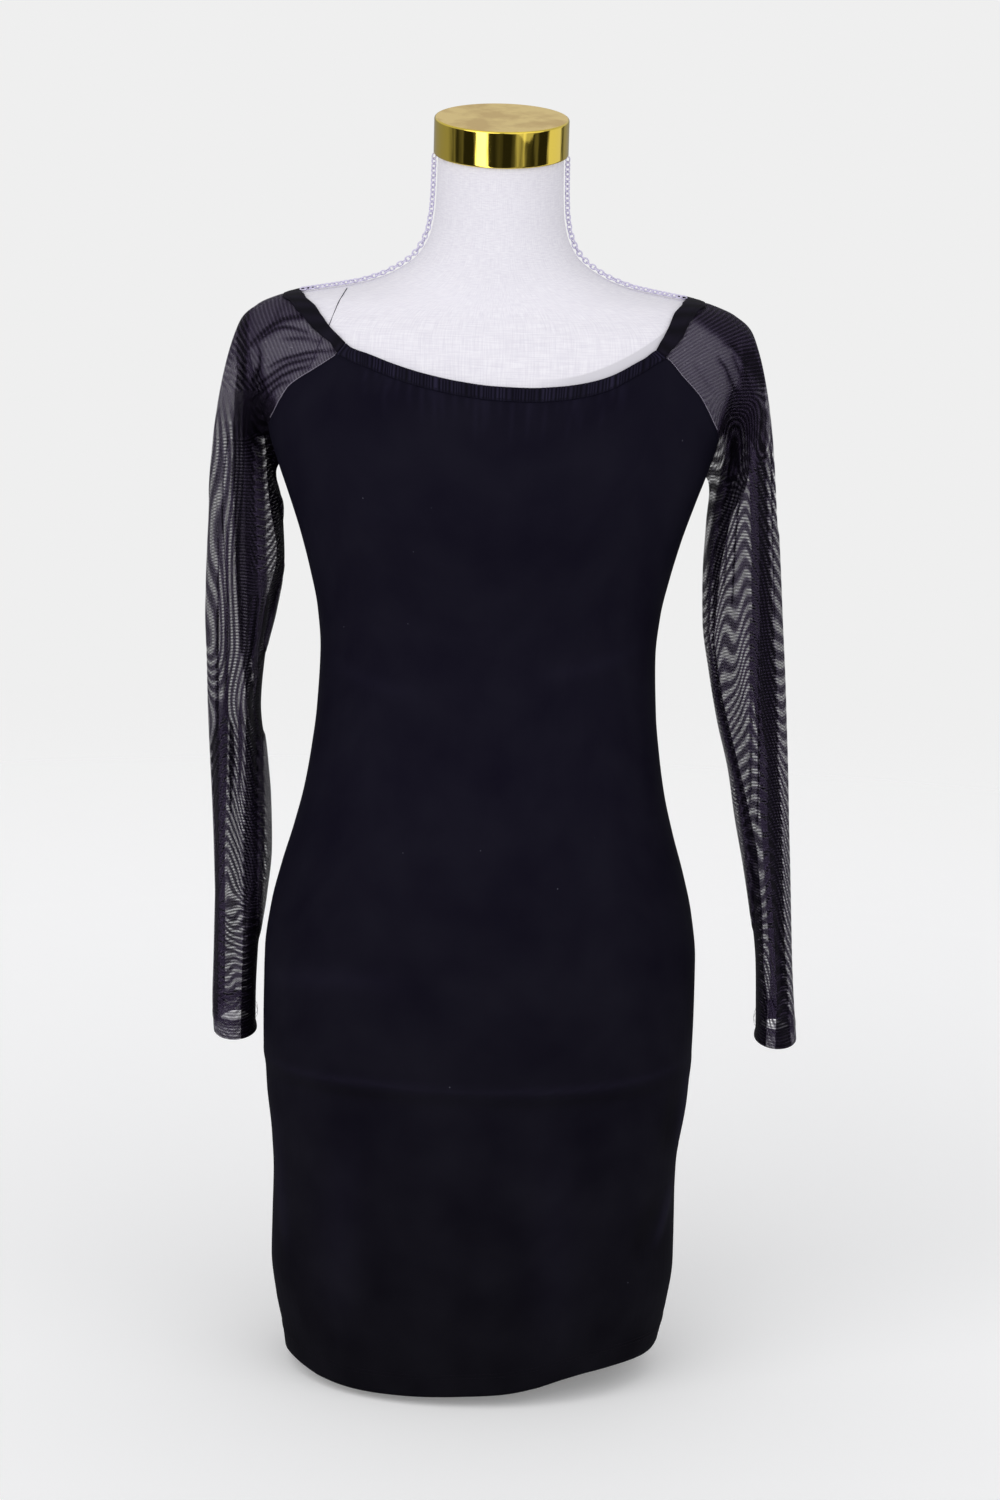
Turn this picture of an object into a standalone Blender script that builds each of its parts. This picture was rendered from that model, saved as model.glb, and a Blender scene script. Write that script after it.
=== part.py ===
"""A long-sleeve dress with sheer raglan sleeves, worn by a limbless dress form on a low stand.

Metres, +Z up. The front faces -Y, and the origin is the centre of the stand's underside.
Left and right are the viewer's, looking at the front.
"""

import math

import bmesh
import bpy
import numpy as np
from mathutils import Vector

COLLECTION = "long_sleeve_dress"

# Cloth: how far its inside stays clear of the form, and how thick its walls are
CLOTH_GAP = 0.0008
SHOULDER_GAP = 0.0020
SHOULDER_GAP_FROM, SHOULDER_GAP_TO = 0.690, 0.735
JERSEY_WALL = 0.0014
NET_WALL = 0.0011
CASING_WALL = 0.0018
BAND_WALL = 0.0016
SEAM_GAP = 0.0003
EDGE_GAP = 0.0013
CASING_SEAM_GAP = 0.0008
BAND_SEAM_GAP = 0.0012
STEEP_SEAM_GAP = 0.0019
UNDERARM_SEAM_GAP = 0.0040
UNDERARM_SEAM_TO = 38.0

# The dress
HEM_HEIGHT = 0.017
HEM_TILT = 0.052
HEM_TURN = 0.020
HEM_STEP = 0.0004
HEM_EDGE = 0.001
CASING_DEPTH = 0.012
CASING_END = 0.25
FRONT_GATHERS = 100
BACK_GATHERS = 60
GATHER_HEIGHT = 0.0007
CORNER, CENTRE = 51.3, 90.0
UNDERARM_ROW = 0.700

# The form and its stand
RIM_HEIGHT = 0.255
RIM_EDGE, RIM_BEVEL = 0.006, 0.002
NECK_TOP = 0.9855
NECK_LEAN = math.radians(6.8)
LEAN_FROM = 0.925
CAP_RADIUS = 0.0520
CAP_HEIGHT = 0.0285
CAP_EDGE = 0.004
CAP_FOOT = 0.0008
PIPING_RADIUS = 0.0022
PIPING_GAP = 0.0007
BASE_RADIUS = 0.072
BASE_THICKNESS = 0.014
BASE_EDGE = 0.003
HUB_RADIUS, HUB_HEIGHT = 0.022, 0.010
POST_RADIUS = 0.0125
FLANGE_RADIUS, FLANGE_THICKNESS = 0.045, 0.006

# What the cloth lies on, from the hem to the top of the neck: the hollow skirt below the form's
# rim, and the form above it. The widest line of a section lies at its centre, in y.
BODY_COLUMNS = ("height", "half_width", "centre", "front", "back", "squareness")
BODY = (
    (0.000, 0.1480, 0.000, 0.118, 0.110, 2.10),
    (0.022, 0.1508, 0.000, 0.118, 0.112, 2.12),
    (0.057, 0.1580, 0.000, 0.118, 0.114, 2.18),
    (0.091, 0.1620, 0.000, 0.117, 0.115, 2.26),
    (0.126, 0.1617, 0.000, 0.116, 0.116, 2.30),
    (0.160, 0.1612, 0.000, 0.115, 0.116, 2.30),
    (0.194, 0.1632, 0.000, 0.114, 0.116, 2.30),
    (0.228, 0.1676, 0.000, 0.114, 0.117, 2.30),
    (0.246, 0.1690, 0.000, 0.114, 0.118, 2.30),
    (0.262, 0.1710, 0.000, 0.116, 0.120, 2.30),
    (0.300, 0.1716, 0.000, 0.117, 0.122, 2.30),
    (0.345, 0.1712, 0.000, 0.116, 0.122, 2.30),
    (0.380, 0.1670, 0.000, 0.113, 0.118, 2.30),
    (0.412, 0.1595, 0.000, 0.109, 0.111, 2.28),
    (0.445, 0.1500, 0.000, 0.105, 0.102, 2.26),
    (0.478, 0.1420, 0.000, 0.101, 0.094, 2.24),
    (0.511, 0.1367, 0.000, 0.098, 0.087, 2.22),
    (0.544, 0.1330, 0.000, 0.096, 0.082, 2.20),
    (0.592, 0.1310, 0.000, 0.095, 0.079, 2.20),
    (0.625, 0.1338, 0.000, 0.099, 0.080, 2.22),
    (0.657, 0.1404, 0.000, 0.109, 0.084, 2.26),
    (0.689, 0.1488, 0.000, 0.120, 0.088, 2.34),
    (0.720, 0.1580, 0.000, 0.127, 0.092, 2.42),
    (0.750, 0.1680, 0.000, 0.125, 0.095, 2.46),
    (0.775, 0.1765, 0.000, 0.117, 0.097, 2.46),
    (0.800, 0.1855, 0.000, 0.104, 0.095, 2.44),
    (0.820, 0.1905, 0.000, 0.093, 0.092, 2.40),
    (0.838, 0.1930, 0.000, 0.083, 0.088, 2.34),
    (0.851, 0.1925, 0.000, 0.076, 0.082, 2.28),
    (0.860, 0.1850, 0.000, 0.069, 0.076, 2.22),
    (0.866, 0.1730, 0.000, 0.064, 0.071, 2.16),
    (0.872, 0.1545, 0.000, 0.0605, 0.067, 2.12),
    (0.8765, 0.1300, -0.001, 0.0580, 0.0630, 2.08),
    (0.8815, 0.1055, -0.002, 0.0560, 0.0595, 2.05),
    (0.890, 0.0830, -0.003, 0.0540, 0.0565, 2.02),
    (0.906, 0.0616, -0.005, 0.0525, 0.0540, 2.00),
    (0.9245, 0.0525, -0.007, 0.0508, 0.0515, 2.00),
    (0.942, 0.0497, -0.009, 0.0498, 0.0500, 2.00),
    (0.962, 0.0489, -0.011, 0.0492, 0.0492, 2.00),
    (0.9855, 0.0486, -0.014, 0.0490, 0.0490, 2.00),
)

# Heights of the rows of points round the trunk, below the arms
TRUNK_ROWS = (
    0.075, 0.120, 0.170, 0.210, 0.238, 0.252, 0.262, 0.285, 0.320, 0.355, 0.390,
    0.425, 0.460, 0.500, 0.540, 0.580, 0.620, 0.660, UNDERARM_ROW,
)
UPPER_ROWS = 6

# Rows of the form above the arms' lower edge, and of the piping from the cap down
FORM_ROWS = (
    0.720, 0.740, 0.760, 0.780, 0.800, 0.820, 0.838, 0.851, 0.860, 0.866, 0.872, 0.8765,
    0.8815, 0.886, 0.891, 0.898, 0.907, 0.920, 0.940, 0.962, NECK_TOP,
)
PIPING_ROWS = (
    0.9825, 0.972, 0.956, 0.940, 0.926, 0.915, 0.906, 0.899, 0.893, 0.888, 0.884, 0.8810,
    0.8780, 0.8755,
)

# Edges on the body: the angle round it from the side seam towards the centre, and the height
RAGLAN_SEAM = (
    (0.0, 0.735), (8.0, 0.762), (18.0, 0.784), (31.0, 0.803), (41.0, 0.813), (CORNER, 0.829),
)
BAND_OUTER = ((0.0, 0.8672), (22.0, 0.8600), (41.0, 0.8475), (CORNER, 0.8290))
NECK_EDGE_SHOULDER = ((0.0, 0.8718), (25.0, 0.8680), (43.0, 0.8590), (CORNER, 0.8440))
FRONT_NECK_EDGE = ((CORNER, 0.8440), (62.0, 0.8310), (75.0, 0.8215), (CENTRE, 0.8180))
BACK_NECK_EDGE = ((CORNER, 0.8440), (62.0, 0.8400), (75.0, 0.8370), (CENTRE, 0.8360))
RAGLAN_STEPS = 7
FRONT_STEPS = 5
BACK_STEPS = 3

# The hanging sleeves, as distances from the middle of the dress
SLEEVE_COLUMNS = ("height", "outer", "inner", "centre", "half_depth")
SLEEVES = {
    "left": (
        (0.272, 0.2150, 0.1785, 0.012, 0.0350),
        (0.300, 0.2165, 0.1787, 0.014, 0.0365),
        (0.340, 0.2161, 0.1775, 0.018, 0.0390),
        (0.380, 0.2160, 0.1725, 0.020, 0.0420),
        (0.420, 0.2172, 0.1690, 0.020, 0.0450),
        (0.460, 0.2188, 0.1700, 0.017, 0.0480),
        (0.500, 0.2208, 0.1735, 0.013, 0.0505),
        (0.540, 0.2226, 0.1778, 0.009, 0.0530),
        (0.580, 0.2238, 0.1750, 0.006, 0.0550),
        (0.620, 0.2254, 0.1668, 0.004, 0.0570),
        (0.660, 0.2248, 0.1605, 0.002, 0.0580),
        (0.700, 0.2232, 0.1625, 0.000, 0.0580),
    ),
    "right": (
        (0.272, 0.2588, 0.2225, 0.004, 0.0350),
        (0.300, 0.2558, 0.2217, 0.004, 0.0365),
        (0.340, 0.2523, 0.2200, 0.004, 0.0390),
        (0.380, 0.2498, 0.2150, 0.004, 0.0420),
        (0.420, 0.2474, 0.2080, 0.004, 0.0450),
        (0.460, 0.2448, 0.1997, 0.004, 0.0480),
        (0.500, 0.2425, 0.1927, 0.004, 0.0505),
        (0.540, 0.2397, 0.1825, 0.003, 0.0530),
        (0.580, 0.2368, 0.1745, 0.002, 0.0550),
        (0.620, 0.2334, 0.1682, 0.001, 0.0570),
        (0.660, 0.2302, 0.1669, 0.000, 0.0580),
        (0.700, 0.2268, 0.1682, 0.000, 0.0580),
    ),
}
# How wide the sleeves stand at the shoulder: the height, and the distance from the middle
SHOULDER_LINE = (
    (0.700, 0.2250), (0.728, 0.2222), (0.760, 0.2190), (0.792, 0.2148), (0.824, 0.2088),
    (0.842, 0.2040), (0.854, 0.1992), (0.862, 0.1930), (0.872, 0.1800),
)
SLEEVE_ROWS = (0.665, 0.630, 0.595, 0.560, 0.525, 0.490, 0.450, 0.410, 0.370, 0.330)
CUFF_HEIGHTS = {"left": 0.272, "right": 0.279}
SHOULDER_STEPS = 7
LEAVING_FULLNESS = (0.95, 1.25)
ARRIVING_FULLNESS = (1.15, 0.55)
SLEEVE_LEAD = Vector((0.90, 0.0, -0.44))
# How much the cloth leaving its seam follows the square to the seam, the sleeve's lead and, in
# this share of the way up from under the arm, the way straight off the body
SEAM_PULL, LEAD_PULL, UNDERARM_PULL, UNDERARM_SHARE = 0.80, 0.35, 0.90, 0.60
ARMHOLE = (0.192, 0.800)
PANEL_CLEARANCE = 0.0052
YOKE_CLEARANCE = 0.0036
SEAM_REACH = 0.003

# The largest folds of the sleeves are troughs that run down them. Their columns are the angle
# round the sleeve from the body over the front, depth, spread in degrees, top and bottom.
FOLDS = {
    "left": (
        (92.0, 0.0150, 22.0, 0.725, 0.30),
        (30.0, 0.0080, 18.0, 0.700, 0.42),
        (215.0, 0.0090, 24.0, 0.740, 0.34),
        (300.0, 0.0100, 22.0, 0.720, 0.30),
    ),
    "right": (
        (120.0, 0.0120, 22.0, 0.725, 0.28),
        (58.0, 0.0070, 18.0, 0.680, 0.40),
        (232.0, 0.0100, 24.0, 0.740, 0.30),
        (310.0, 0.0080, 20.0, 0.720, 0.36),
    ),
}
FOLD_FADE = 0.05
FOLD_NARROWING = 0.6

JERSEY, NET, COVER = (0.010, 0.0095, 0.015), (0.030, 0.027, 0.035), (0.80, 0.79, 0.84)
GOLD, BRAID, STEEL = (0.75, 0.55, 0.16), (0.72, 0.70, 0.80), (0.10, 0.10, 0.11)


def curve_through(across, values, at):
    """A smooth curve through a table's points, read at one place. It never overshoots them."""
    across, values = np.asarray(across, float), np.asarray(values, float)
    steps = np.diff(across)
    rise = np.diff(values) / steps
    lean = np.concatenate(([rise[0]], np.zeros(len(rise) - 1), [rise[-1]]))
    for i in range(1, len(rise)):
        if rise[i - 1] * rise[i] > 0:
            lean[i] = 2 * rise[i - 1] * rise[i] / (rise[i - 1] + rise[i])
    at = min(max(at, across[0]), across[-1])
    i = min(max(int(np.searchsorted(across, at)) - 1, 0), len(steps) - 1)
    s = (at - across[i]) / steps[i]
    return float(
        values[i] * (1 + 2 * s) * (1 - s) ** 2
        + values[i + 1] * s * s * (3 - 2 * s)
        + steps[i] * (lean[i] * s * (1 - s) ** 2 - lean[i + 1] * s * s * (1 - s))
    )


def read_table(rows, columns, key, at):
    """Every other column of a table, at a value of its first column between the rows."""
    across = [row[0] for row in rows]
    return {
        name: curve_through(across, [row[i] for row in rows], at)
        for i, name in enumerate(columns)
        if name != key
    }


def cloth_gap(height):
    """How far the cloth stands off the skin: a little more round the curved shoulders."""
    share = (height - SHOULDER_GAP_FROM) / (SHOULDER_GAP_TO - SHOULDER_GAP_FROM)
    return CLOTH_GAP + (SHOULDER_GAP - CLOTH_GAP) * min(max(share, 0), 1)


def read_pairs(pairs, at):
    """A table of two columns, such as an edge's height by its angle, read at one place."""
    return curve_through([row[0] for row in pairs], [row[1] for row in pairs], at)


def skin_point(angle, height):
    """A point of the body's skin. 0 degrees is the side at +X, 90 the front, 180 the side at -X."""
    row = read_table(BODY, BODY_COLUMNS, "height", height)
    c, s = math.cos(math.radians(angle)), math.sin(math.radians(angle))
    reach = (abs(c) ** row["squareness"] + abs(s) ** row["squareness"]) ** (1 / row["squareness"])
    depth = row["front"] if s > 0 else row["back"]
    y = -depth * s / reach
    lean = min(max((height - LEAN_FROM) / (NECK_TOP - LEAN_FROM), 0), 1) * math.tan(NECK_LEAN)
    return Vector((row["half_width"] * c / reach, row["centre"] + y, height + lean * y))


def skin_normal(angle, height):
    """The way that points out of the skin."""
    turn, rise = 0.5, 0.0005
    low, high = max(height - rise, BODY[0][0]), min(height + rise, NECK_TOP)
    across = skin_point(angle + turn, height) - skin_point(angle - turn, height)
    up = skin_point(angle, high) - skin_point(angle, low)
    return up.cross(across).normalized()


def raised(angle, height, along):
    """The height that lies this far up the skin, measured along it, from a height."""
    high = min(height + 0.001, NECK_TOP)
    up = skin_point(angle, high) - skin_point(angle, height)
    return height + along * up.z / up.length


def body_point(angle, height, clear=0.0):
    """A point that stands clear of the skin, at an angle round it and a height."""
    return skin_point(angle, height) + clear * skin_normal(angle, height)


def inside_measure(point):
    """How far out a point lies in the body's section at its height, where 1 is on the skin."""
    row = read_table(BODY, BODY_COLUMNS, "height", point.z)
    y = point.y - row["centre"]
    depth = row["front"] if y < 0 else row["back"]
    n = row["squareness"]
    return ((abs(point.x) / row["half_width"]) ** n + (abs(y) / depth) ** n) ** (1 / n)


def clearance_at(point):
    """How far a sleeve keeps off the skin: more where a panel of the body lies between them."""
    row = read_table(BODY, BODY_COLUMNS, "height", point.z)
    depth = row["front"] if point.y < 0 else row["back"]
    angle = math.degrees(math.atan2(abs(point.y) / depth, abs(point.x) / row["half_width"]))
    over_panel = angle > CORNER or point.z < read_pairs(RAGLAN_SEAM, angle) + SEAM_REACH
    return PANEL_CLEARANCE if over_panel else YOKE_CLEARANCE


def pushed_clear(point, clear):
    """The point, or where it ends up once it is moved out to stand this clear of the skin."""
    probe = 0.0004
    for _ in range(6):
        here = inside_measure(point)
        slope = Vector(
            (inside_measure(point + probe * axis) - here) / probe
            for axis in (Vector((1, 0, 0)), Vector((0, 1, 0)), Vector((0, 0, 1)))
        )
        short = clear - (here - 1) / slope.length
        if short <= 0:
            return point
        point = point + short * slope.normalized()
    return point


def new_material(name, colour, roughness, metallic=0.0, alpha=1.0):
    material = bpy.data.materials.new(name)
    material.use_nodes = True
    shader = material.node_tree.nodes["Principled BSDF"]
    shader.inputs["Base Color"].default_value = (*colour, 1)
    shader.inputs["Roughness"].default_value = roughness
    shader.inputs["Metallic"].default_value = metallic
    shader.inputs["Alpha"].default_value = alpha
    return material


def add_object(name, data, material):
    made = bpy.data.objects.new(name, data)
    made.data.materials.append(material)
    parts.objects.link(made)
    return made


def surface(name, rows, ring, flip, material, caps=False):
    """A sheet of quads through rows of points. A ring joins each row's end to its start.

    Each quad starts at an end of its shorter diagonal, along which it is later split.
    """
    mesh = bpy.data.meshes.new(name)
    bm = bmesh.new()
    grid = [[bm.verts.new(point) for point in row] for row in rows]
    across = len(rows[0])
    for low, high in zip(grid, grid[1:]):
        for i in range(across if ring else across - 1):
            j = (i + 1) % across
            corners = [low[i], low[j], high[j], high[i]]
            if (low[i].co - high[j].co).length > (low[j].co - high[i].co).length:
                corners = corners[1:] + corners[:1]
            bm.faces.new((corners[0], *reversed(corners[1:])) if flip else corners)
    if caps:
        bm.faces.new(grid[0] if flip else grid[0][::-1])
        bm.faces.new(grid[-1][::-1] if flip else grid[-1])
    bm.to_mesh(mesh)
    bm.free()
    mesh.shade_smooth()
    return add_object(name, mesh, material)


def thicken(sheet, wall):
    """Gives a sheet its wall, on the outside."""
    solidify = sheet.modifiers.new("Wall", "SOLIDIFY")
    solidify.thickness = wall
    solidify.offset = 1.0


def turned(name, profile, material, steps=40):
    """A turned piece, from a profile of (radius, height) that starts and ends on the axis."""
    mesh = bpy.data.meshes.new(name)
    bm = bmesh.new()
    line = [bm.verts.new((radius, 0, height)) for radius, height in profile]
    for a, b in zip(line, line[1:]):
        bm.edges.new((a, b))
    bm.to_mesh(mesh)
    bm.free()
    made = add_object(name, mesh, material)
    screw = made.modifiers.new("Turn", "SCREW")
    screw.steps = screw.render_steps = steps
    screw.use_merge_vertices = True
    screw.merge_threshold = 0.00001
    screw.use_smooth_shade = True
    return made


def hem_height(x):
    """The hem hangs a little lower on the left."""
    return HEM_HEIGHT + HEM_TILT * x


def seam_gap(from_side):
    """How far a panel's edge stays below the sleeve's: more under the arm, where it turns over."""
    share = min(max(1 - (from_side - UNDERARM_SEAM_TO) / (CORNER - UNDERARM_SEAM_TO), 0), 1)
    return STEEP_SEAM_GAP + (UNDERARM_SEAM_GAP - STEEP_SEAM_GAP) * share


def panel(name, start, steps, neck_edge, material):
    """A panel of the body from one side seam round to the other, from the hem to its top edge.

    A column of points stands at each angle. Up to the corner its top is the raglan seam, and
    between the corners it is the lower edge of the neck casing.
    """
    sides = [CORNER * i / RAGLAN_STEPS for i in range(RAGLAN_STEPS + 1)]
    middle = [CORNER + (CENTRE - CORNER) * i / steps for i in range(1, steps + 1)]
    half = sides + middle
    columns = []
    for i, from_side in enumerate(half + half[-2::-1]):
        angle = from_side if i < len(half) else 180 - from_side
        if from_side <= CORNER:
            top = read_pairs(RAGLAN_SEAM, from_side) - seam_gap(from_side)
        else:
            top = read_pairs(neck_edge, from_side) - CASING_DEPTH - CASING_SEAM_GAP
        x = skin_point(start + angle, HEM_HEIGHT).x
        hem = hem_height(x)
        heights = [hem, hem + HEM_TURN, hem + HEM_TURN + HEM_EDGE, *TRUNK_ROWS]
        heights += [
            UNDERARM_ROW + (top - UNDERARM_ROW) * i / UPPER_ROWS for i in range(1, UPPER_ROWS + 1)
        ]
        clear = [cloth_gap(h) + (HEM_STEP if i < 2 else 0) for i, h in enumerate(heights)]
        columns.append([body_point(start + angle, h, c) for h, c in zip(heights, clear)])
    for column, way in ((columns[0], 1), (columns[-1], 1)):
        for point in column:
            point.y = min(point.y, -SEAM_GAP / 2) if start == 0 else max(point.y, SEAM_GAP / 2)
    made = surface(name, [list(row) for row in zip(*columns)], False, True, material)
    thicken(made, JERSEY_WALL)
    return made


def strip(name, edge_pairs, wall_of, material):
    """A closed strip between a lower and an upper edge, each a list of (angle, height)."""
    rows = []
    for i, ((low_angle, low), (high_angle, high)) in enumerate(edge_pairs):
        wall = wall_of(i)
        rows.append([
            body_point(low_angle, low, EDGE_GAP),
            body_point(low_angle, low, EDGE_GAP + wall),
            body_point(high_angle, high, EDGE_GAP + wall),
            body_point(high_angle, high, EDGE_GAP),
        ])
    return surface(name, rows, True, False, material, caps=True)


def neck_casing(name, start, neck_edge, gathers, material):
    """The neck edge turned over its elastic: a thick strip whose outside rises in fine gathers."""
    across = 2 * gathers
    corner = CORNER + CASING_END
    pairs = []
    for i in range(across + 1):
        angle = corner + (180 - 2 * corner) * i / across
        height = read_pairs(neck_edge, min(angle, 180 - angle))
        pairs.append(((start + angle, height - CASING_DEPTH), (start + angle, height)))
    return strip(name, pairs, lambda i: CASING_WALL + (GATHER_HEIGHT if i % 2 else 0), material)


def shoulder_band(name, side, material):
    """Several layers of net along the neck edge, from the front corner over the shoulder."""
    angles = [CORNER * (1 - i / RAGLAN_STEPS) for i in range(RAGLAN_STEPS + 1)]
    pairs = []
    for angle in angles + [-angle for angle in reversed(angles[:-1])]:
        low = raised(abs(angle), read_pairs(BAND_OUTER, abs(angle)), BAND_SEAM_GAP)
        high = read_pairs(NECK_EDGE_SHOULDER, abs(angle))
        turn = angle if side > 0 else 180 - angle
        pairs.append(((turn, low), (turn, high)))
    if side < 0:
        pairs.reverse()
    return strip(name, pairs[::-1], lambda i: BAND_WALL, material)


def armhole_loop(side):
    """The sleeve's upper edge: raglan seam, band, and raglan seam again, from under the arm."""
    angles = [CORNER * i / RAGLAN_STEPS for i in range(RAGLAN_STEPS + 1)]
    loop = [(angle, read_pairs(RAGLAN_SEAM, angle)) for angle in angles]
    loop += [(angle, read_pairs(BAND_OUTER, angle)) for angle in reversed(angles[:-1])]
    loop += [(-angle, height) for angle, height in reversed(loop[1:-1])]
    return [(angle if side > 0 else 180 - angle, height) for angle, height in loop]


def fold_depth(folds, around, height):
    """How far the folds draw the sleeve in, at an angle round it and a height."""
    depth = 0.0
    for angle, deepest, spread, top, bottom in folds:
        away = (around - angle + 180) % 360 - 180
        ends = min(max((top - height) / FOLD_FADE, 0), 1) * min(
            max((height - bottom) / FOLD_FADE, 0), 1
        )
        depth += deepest * math.exp(-((away / spread) ** 2)) * ends
    return depth


def tube_point(rows, folds, side, around, height):
    """A point of the hanging sleeve, at an angle from its side next to the body, over the front."""
    row = read_table(rows, SLEEVE_COLUMNS, "height", height)
    half_width = (row["outer"] - row["inner"]) / 2 - NET_WALL
    middle = (row["outer"] + row["inner"]) / 2
    drawn = 1 - fold_depth(folds, around, height) / row["half_depth"]
    turn = math.radians(around)
    return Vector((
        side * (middle - half_width * math.cos(turn) * (1 - FOLD_NARROWING * (1 - drawn))),
        row["centre"] - row["half_depth"] * math.sin(turn) * drawn,
        height,
    ))


def leaving_way(loop_points, i, out, side):
    """The way the cloth leaves its seam: square to the seam, with the sleeve's own lead.

    Under the arm, where the seam lies level, it stands straight off the body instead.
    """
    count = len(loop_points)
    along = (loop_points[(i + 1) % count] - loop_points[i - 1]).normalized()
    square = along.cross(out).normalized()
    if square.dot(Vector((side * ARMHOLE[0], 0, ARMHOLE[1])) - loop_points[i]) < 0:
        square = -square
    lead = Vector((side * SLEEVE_LEAD.x, SLEEVE_LEAD.y, SLEEVE_LEAD.z))
    lead = (lead - out * lead.dot(out)).normalized()
    from_underarm = min(i, count - i) / (count / 4)
    seam_share = min(from_underarm / UNDERARM_SHARE, 1)
    way = square * SEAM_PULL * seam_share + lead * LEAD_PULL + out * UNDERARM_PULL * (1 - seam_share)
    return way.normalized()


def sleeve(name, which, side, material):
    """A raglan sleeve: from its seams over the shoulder, then hanging empty down to the cuff."""
    rows, folds, cuff = SLEEVES[which], FOLDS[which], CUFF_HEIGHTS[which]
    loop = armhole_loop(side)
    start = [body_point(angle, height, SHOULDER_GAP) for angle, height in loop]
    arounds = [360 * i / len(loop) for i in range(len(loop))]
    hang_from = rows[-1][0]
    rings = [start]
    for step in range(1, SHOULDER_STEPS + 1):
        s = step / SHOULDER_STEPS
        ring = []
        for i, ((angle, height), first, around) in enumerate(zip(loop, start, arounds)):
            last = tube_point(rows, folds, side, around, hang_from)
            outer_share = (1 - math.cos(math.radians(around))) / 2
            reach = (last - first).length
            leaving, arriving = (
                under + (over - under) * outer_share**2
                for under, over in (LEAVING_FULLNESS, ARRIVING_FULLNESS)
            )
            leave = leaving_way(start, i, skin_normal(angle, height), side) * reach * leaving
            arrive = Vector((0, 0, -reach * arriving))
            point = (
                first * ((1 + 2 * s) * (1 - s) ** 2)
                + last * (s * s * (3 - 2 * s))
                + leave * (s * (1 - s) ** 2)
                - arrive * (s * s * (1 - s))
            )
            widest = read_pairs(SHOULDER_LINE, point.z) - NET_WALL
            point.x = min(max(point.x, -widest), widest)
            ring.append(pushed_clear(point, clearance_at(point)))
        rings.append(ring)
    for height in [*SLEEVE_ROWS, cuff + HEM_TURN + HEM_EDGE, cuff + HEM_TURN, cuff]:
        ring = [tube_point(rows, folds, side, around, height) for around in arounds]
        rings.append([pushed_clear(point, PANEL_CLEARANCE) for point in ring])
    made = surface(name, rings, True, side > 0, material)
    thicken(made, NET_WALL)
    return made


def form_torso(material):
    """The covered torso and its neck, closed flat at the rim and at the slanted neck top."""
    heights = [h for h in TRUNK_ROWS if h > RIM_HEIGHT] + list(FORM_ROWS)
    step = CORNER / RAGLAN_STEPS
    sides = [step * i for i in range(RAGLAN_STEPS + 1)]
    half = sides + [CORNER + (CENTRE - CORNER) * i / BACK_STEPS for i in range(1, BACK_STEPS + 1)]
    angles = half + [180 - angle for angle in reversed(half[:-1])]
    angles += [180 + angle for angle in angles[1:-1]]
    rows = []
    for inset, height in ((RIM_EDGE, RIM_HEIGHT), (RIM_BEVEL, RIM_HEIGHT + RIM_BEVEL)):
        rows.append([body_point(a, RIM_HEIGHT + RIM_EDGE, -inset) for a in angles])
        for point in rows[-1]:
            point.z = height
    rows += [[body_point(a, h) for a in angles] for h in heights]
    return surface("form_torso", rows, True, True, material, caps=True)


def neck_cap(material):
    """The polished cap on the neck: a turned drum with a rounded upper edge."""
    arc = [
        (
            CAP_RADIUS - CAP_EDGE * (1 - math.cos(math.radians(turn))),
            CAP_HEIGHT - CAP_EDGE * (1 - math.sin(math.radians(turn))),
        )
        for turn in (90, 60, 30, 0)
    ]
    profile = [(0, CAP_HEIGHT), *arc, (CAP_RADIUS, CAP_FOOT), (CAP_RADIUS - CAP_FOOT, 0), (0, 0)]
    cap = turned("neck_cap", profile, material)
    top = read_table(BODY, BODY_COLUMNS, "height", NECK_TOP)
    cap.location = (0, top["centre"], NECK_TOP + SEAM_GAP)
    cap.rotation_euler = (NECK_LEAN, 0, 0)
    return cap


def piping(name, angle, material):
    """Braided piping on the cover's shoulder seam, from the cap down to the neck of the dress."""
    curve = bpy.data.curves.new(name, "CURVE")
    curve.dimensions = "3D"
    curve.bevel_depth = PIPING_RADIUS
    curve.bevel_resolution = 2
    curve.use_fill_caps = True
    line = curve.splines.new("POLY")
    line.points.add(len(PIPING_ROWS) - 1)
    for point, height in zip(line.points, PIPING_ROWS):
        point.co = (*body_point(angle, height, PIPING_RADIUS + PIPING_GAP), 1)
    return add_object(name, curve, material)


def stand(steel):
    """The stand inside the skirt: a weighted disc with a hub, a post, and a flange on the form."""
    base = [(0, BASE_THICKNESS + HUB_HEIGHT), (HUB_RADIUS, BASE_THICKNESS + HUB_HEIGHT)]
    base += [(HUB_RADIUS, BASE_THICKNESS), (BASE_RADIUS - BASE_EDGE, BASE_THICKNESS)]
    base += [(BASE_RADIUS, BASE_THICKNESS - BASE_EDGE), (BASE_RADIUS, 0), (0, 0)]
    turned("stand_base", base, steel, 48)
    foot = BASE_THICKNESS + HUB_HEIGHT + SEAM_GAP
    flange_foot = RIM_HEIGHT - SEAM_GAP - FLANGE_THICKNESS
    top = flange_foot - SEAM_GAP
    turned("stand_post", [(0, top), (POST_RADIUS, top), (POST_RADIUS, foot), (0, foot)], steel, 24)
    flange_top = flange_foot + FLANGE_THICKNESS
    flange = [(0, flange_top), (FLANGE_RADIUS, flange_top), (FLANGE_RADIUS, flange_foot)]
    turned("form_flange", [*flange, (0, flange_foot)], steel, 32)


for old in list(bpy.data.objects):
    bpy.data.objects.remove(old)
parts = bpy.data.collections.new(COLLECTION)
bpy.context.scene.collection.children.link(parts)

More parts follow.
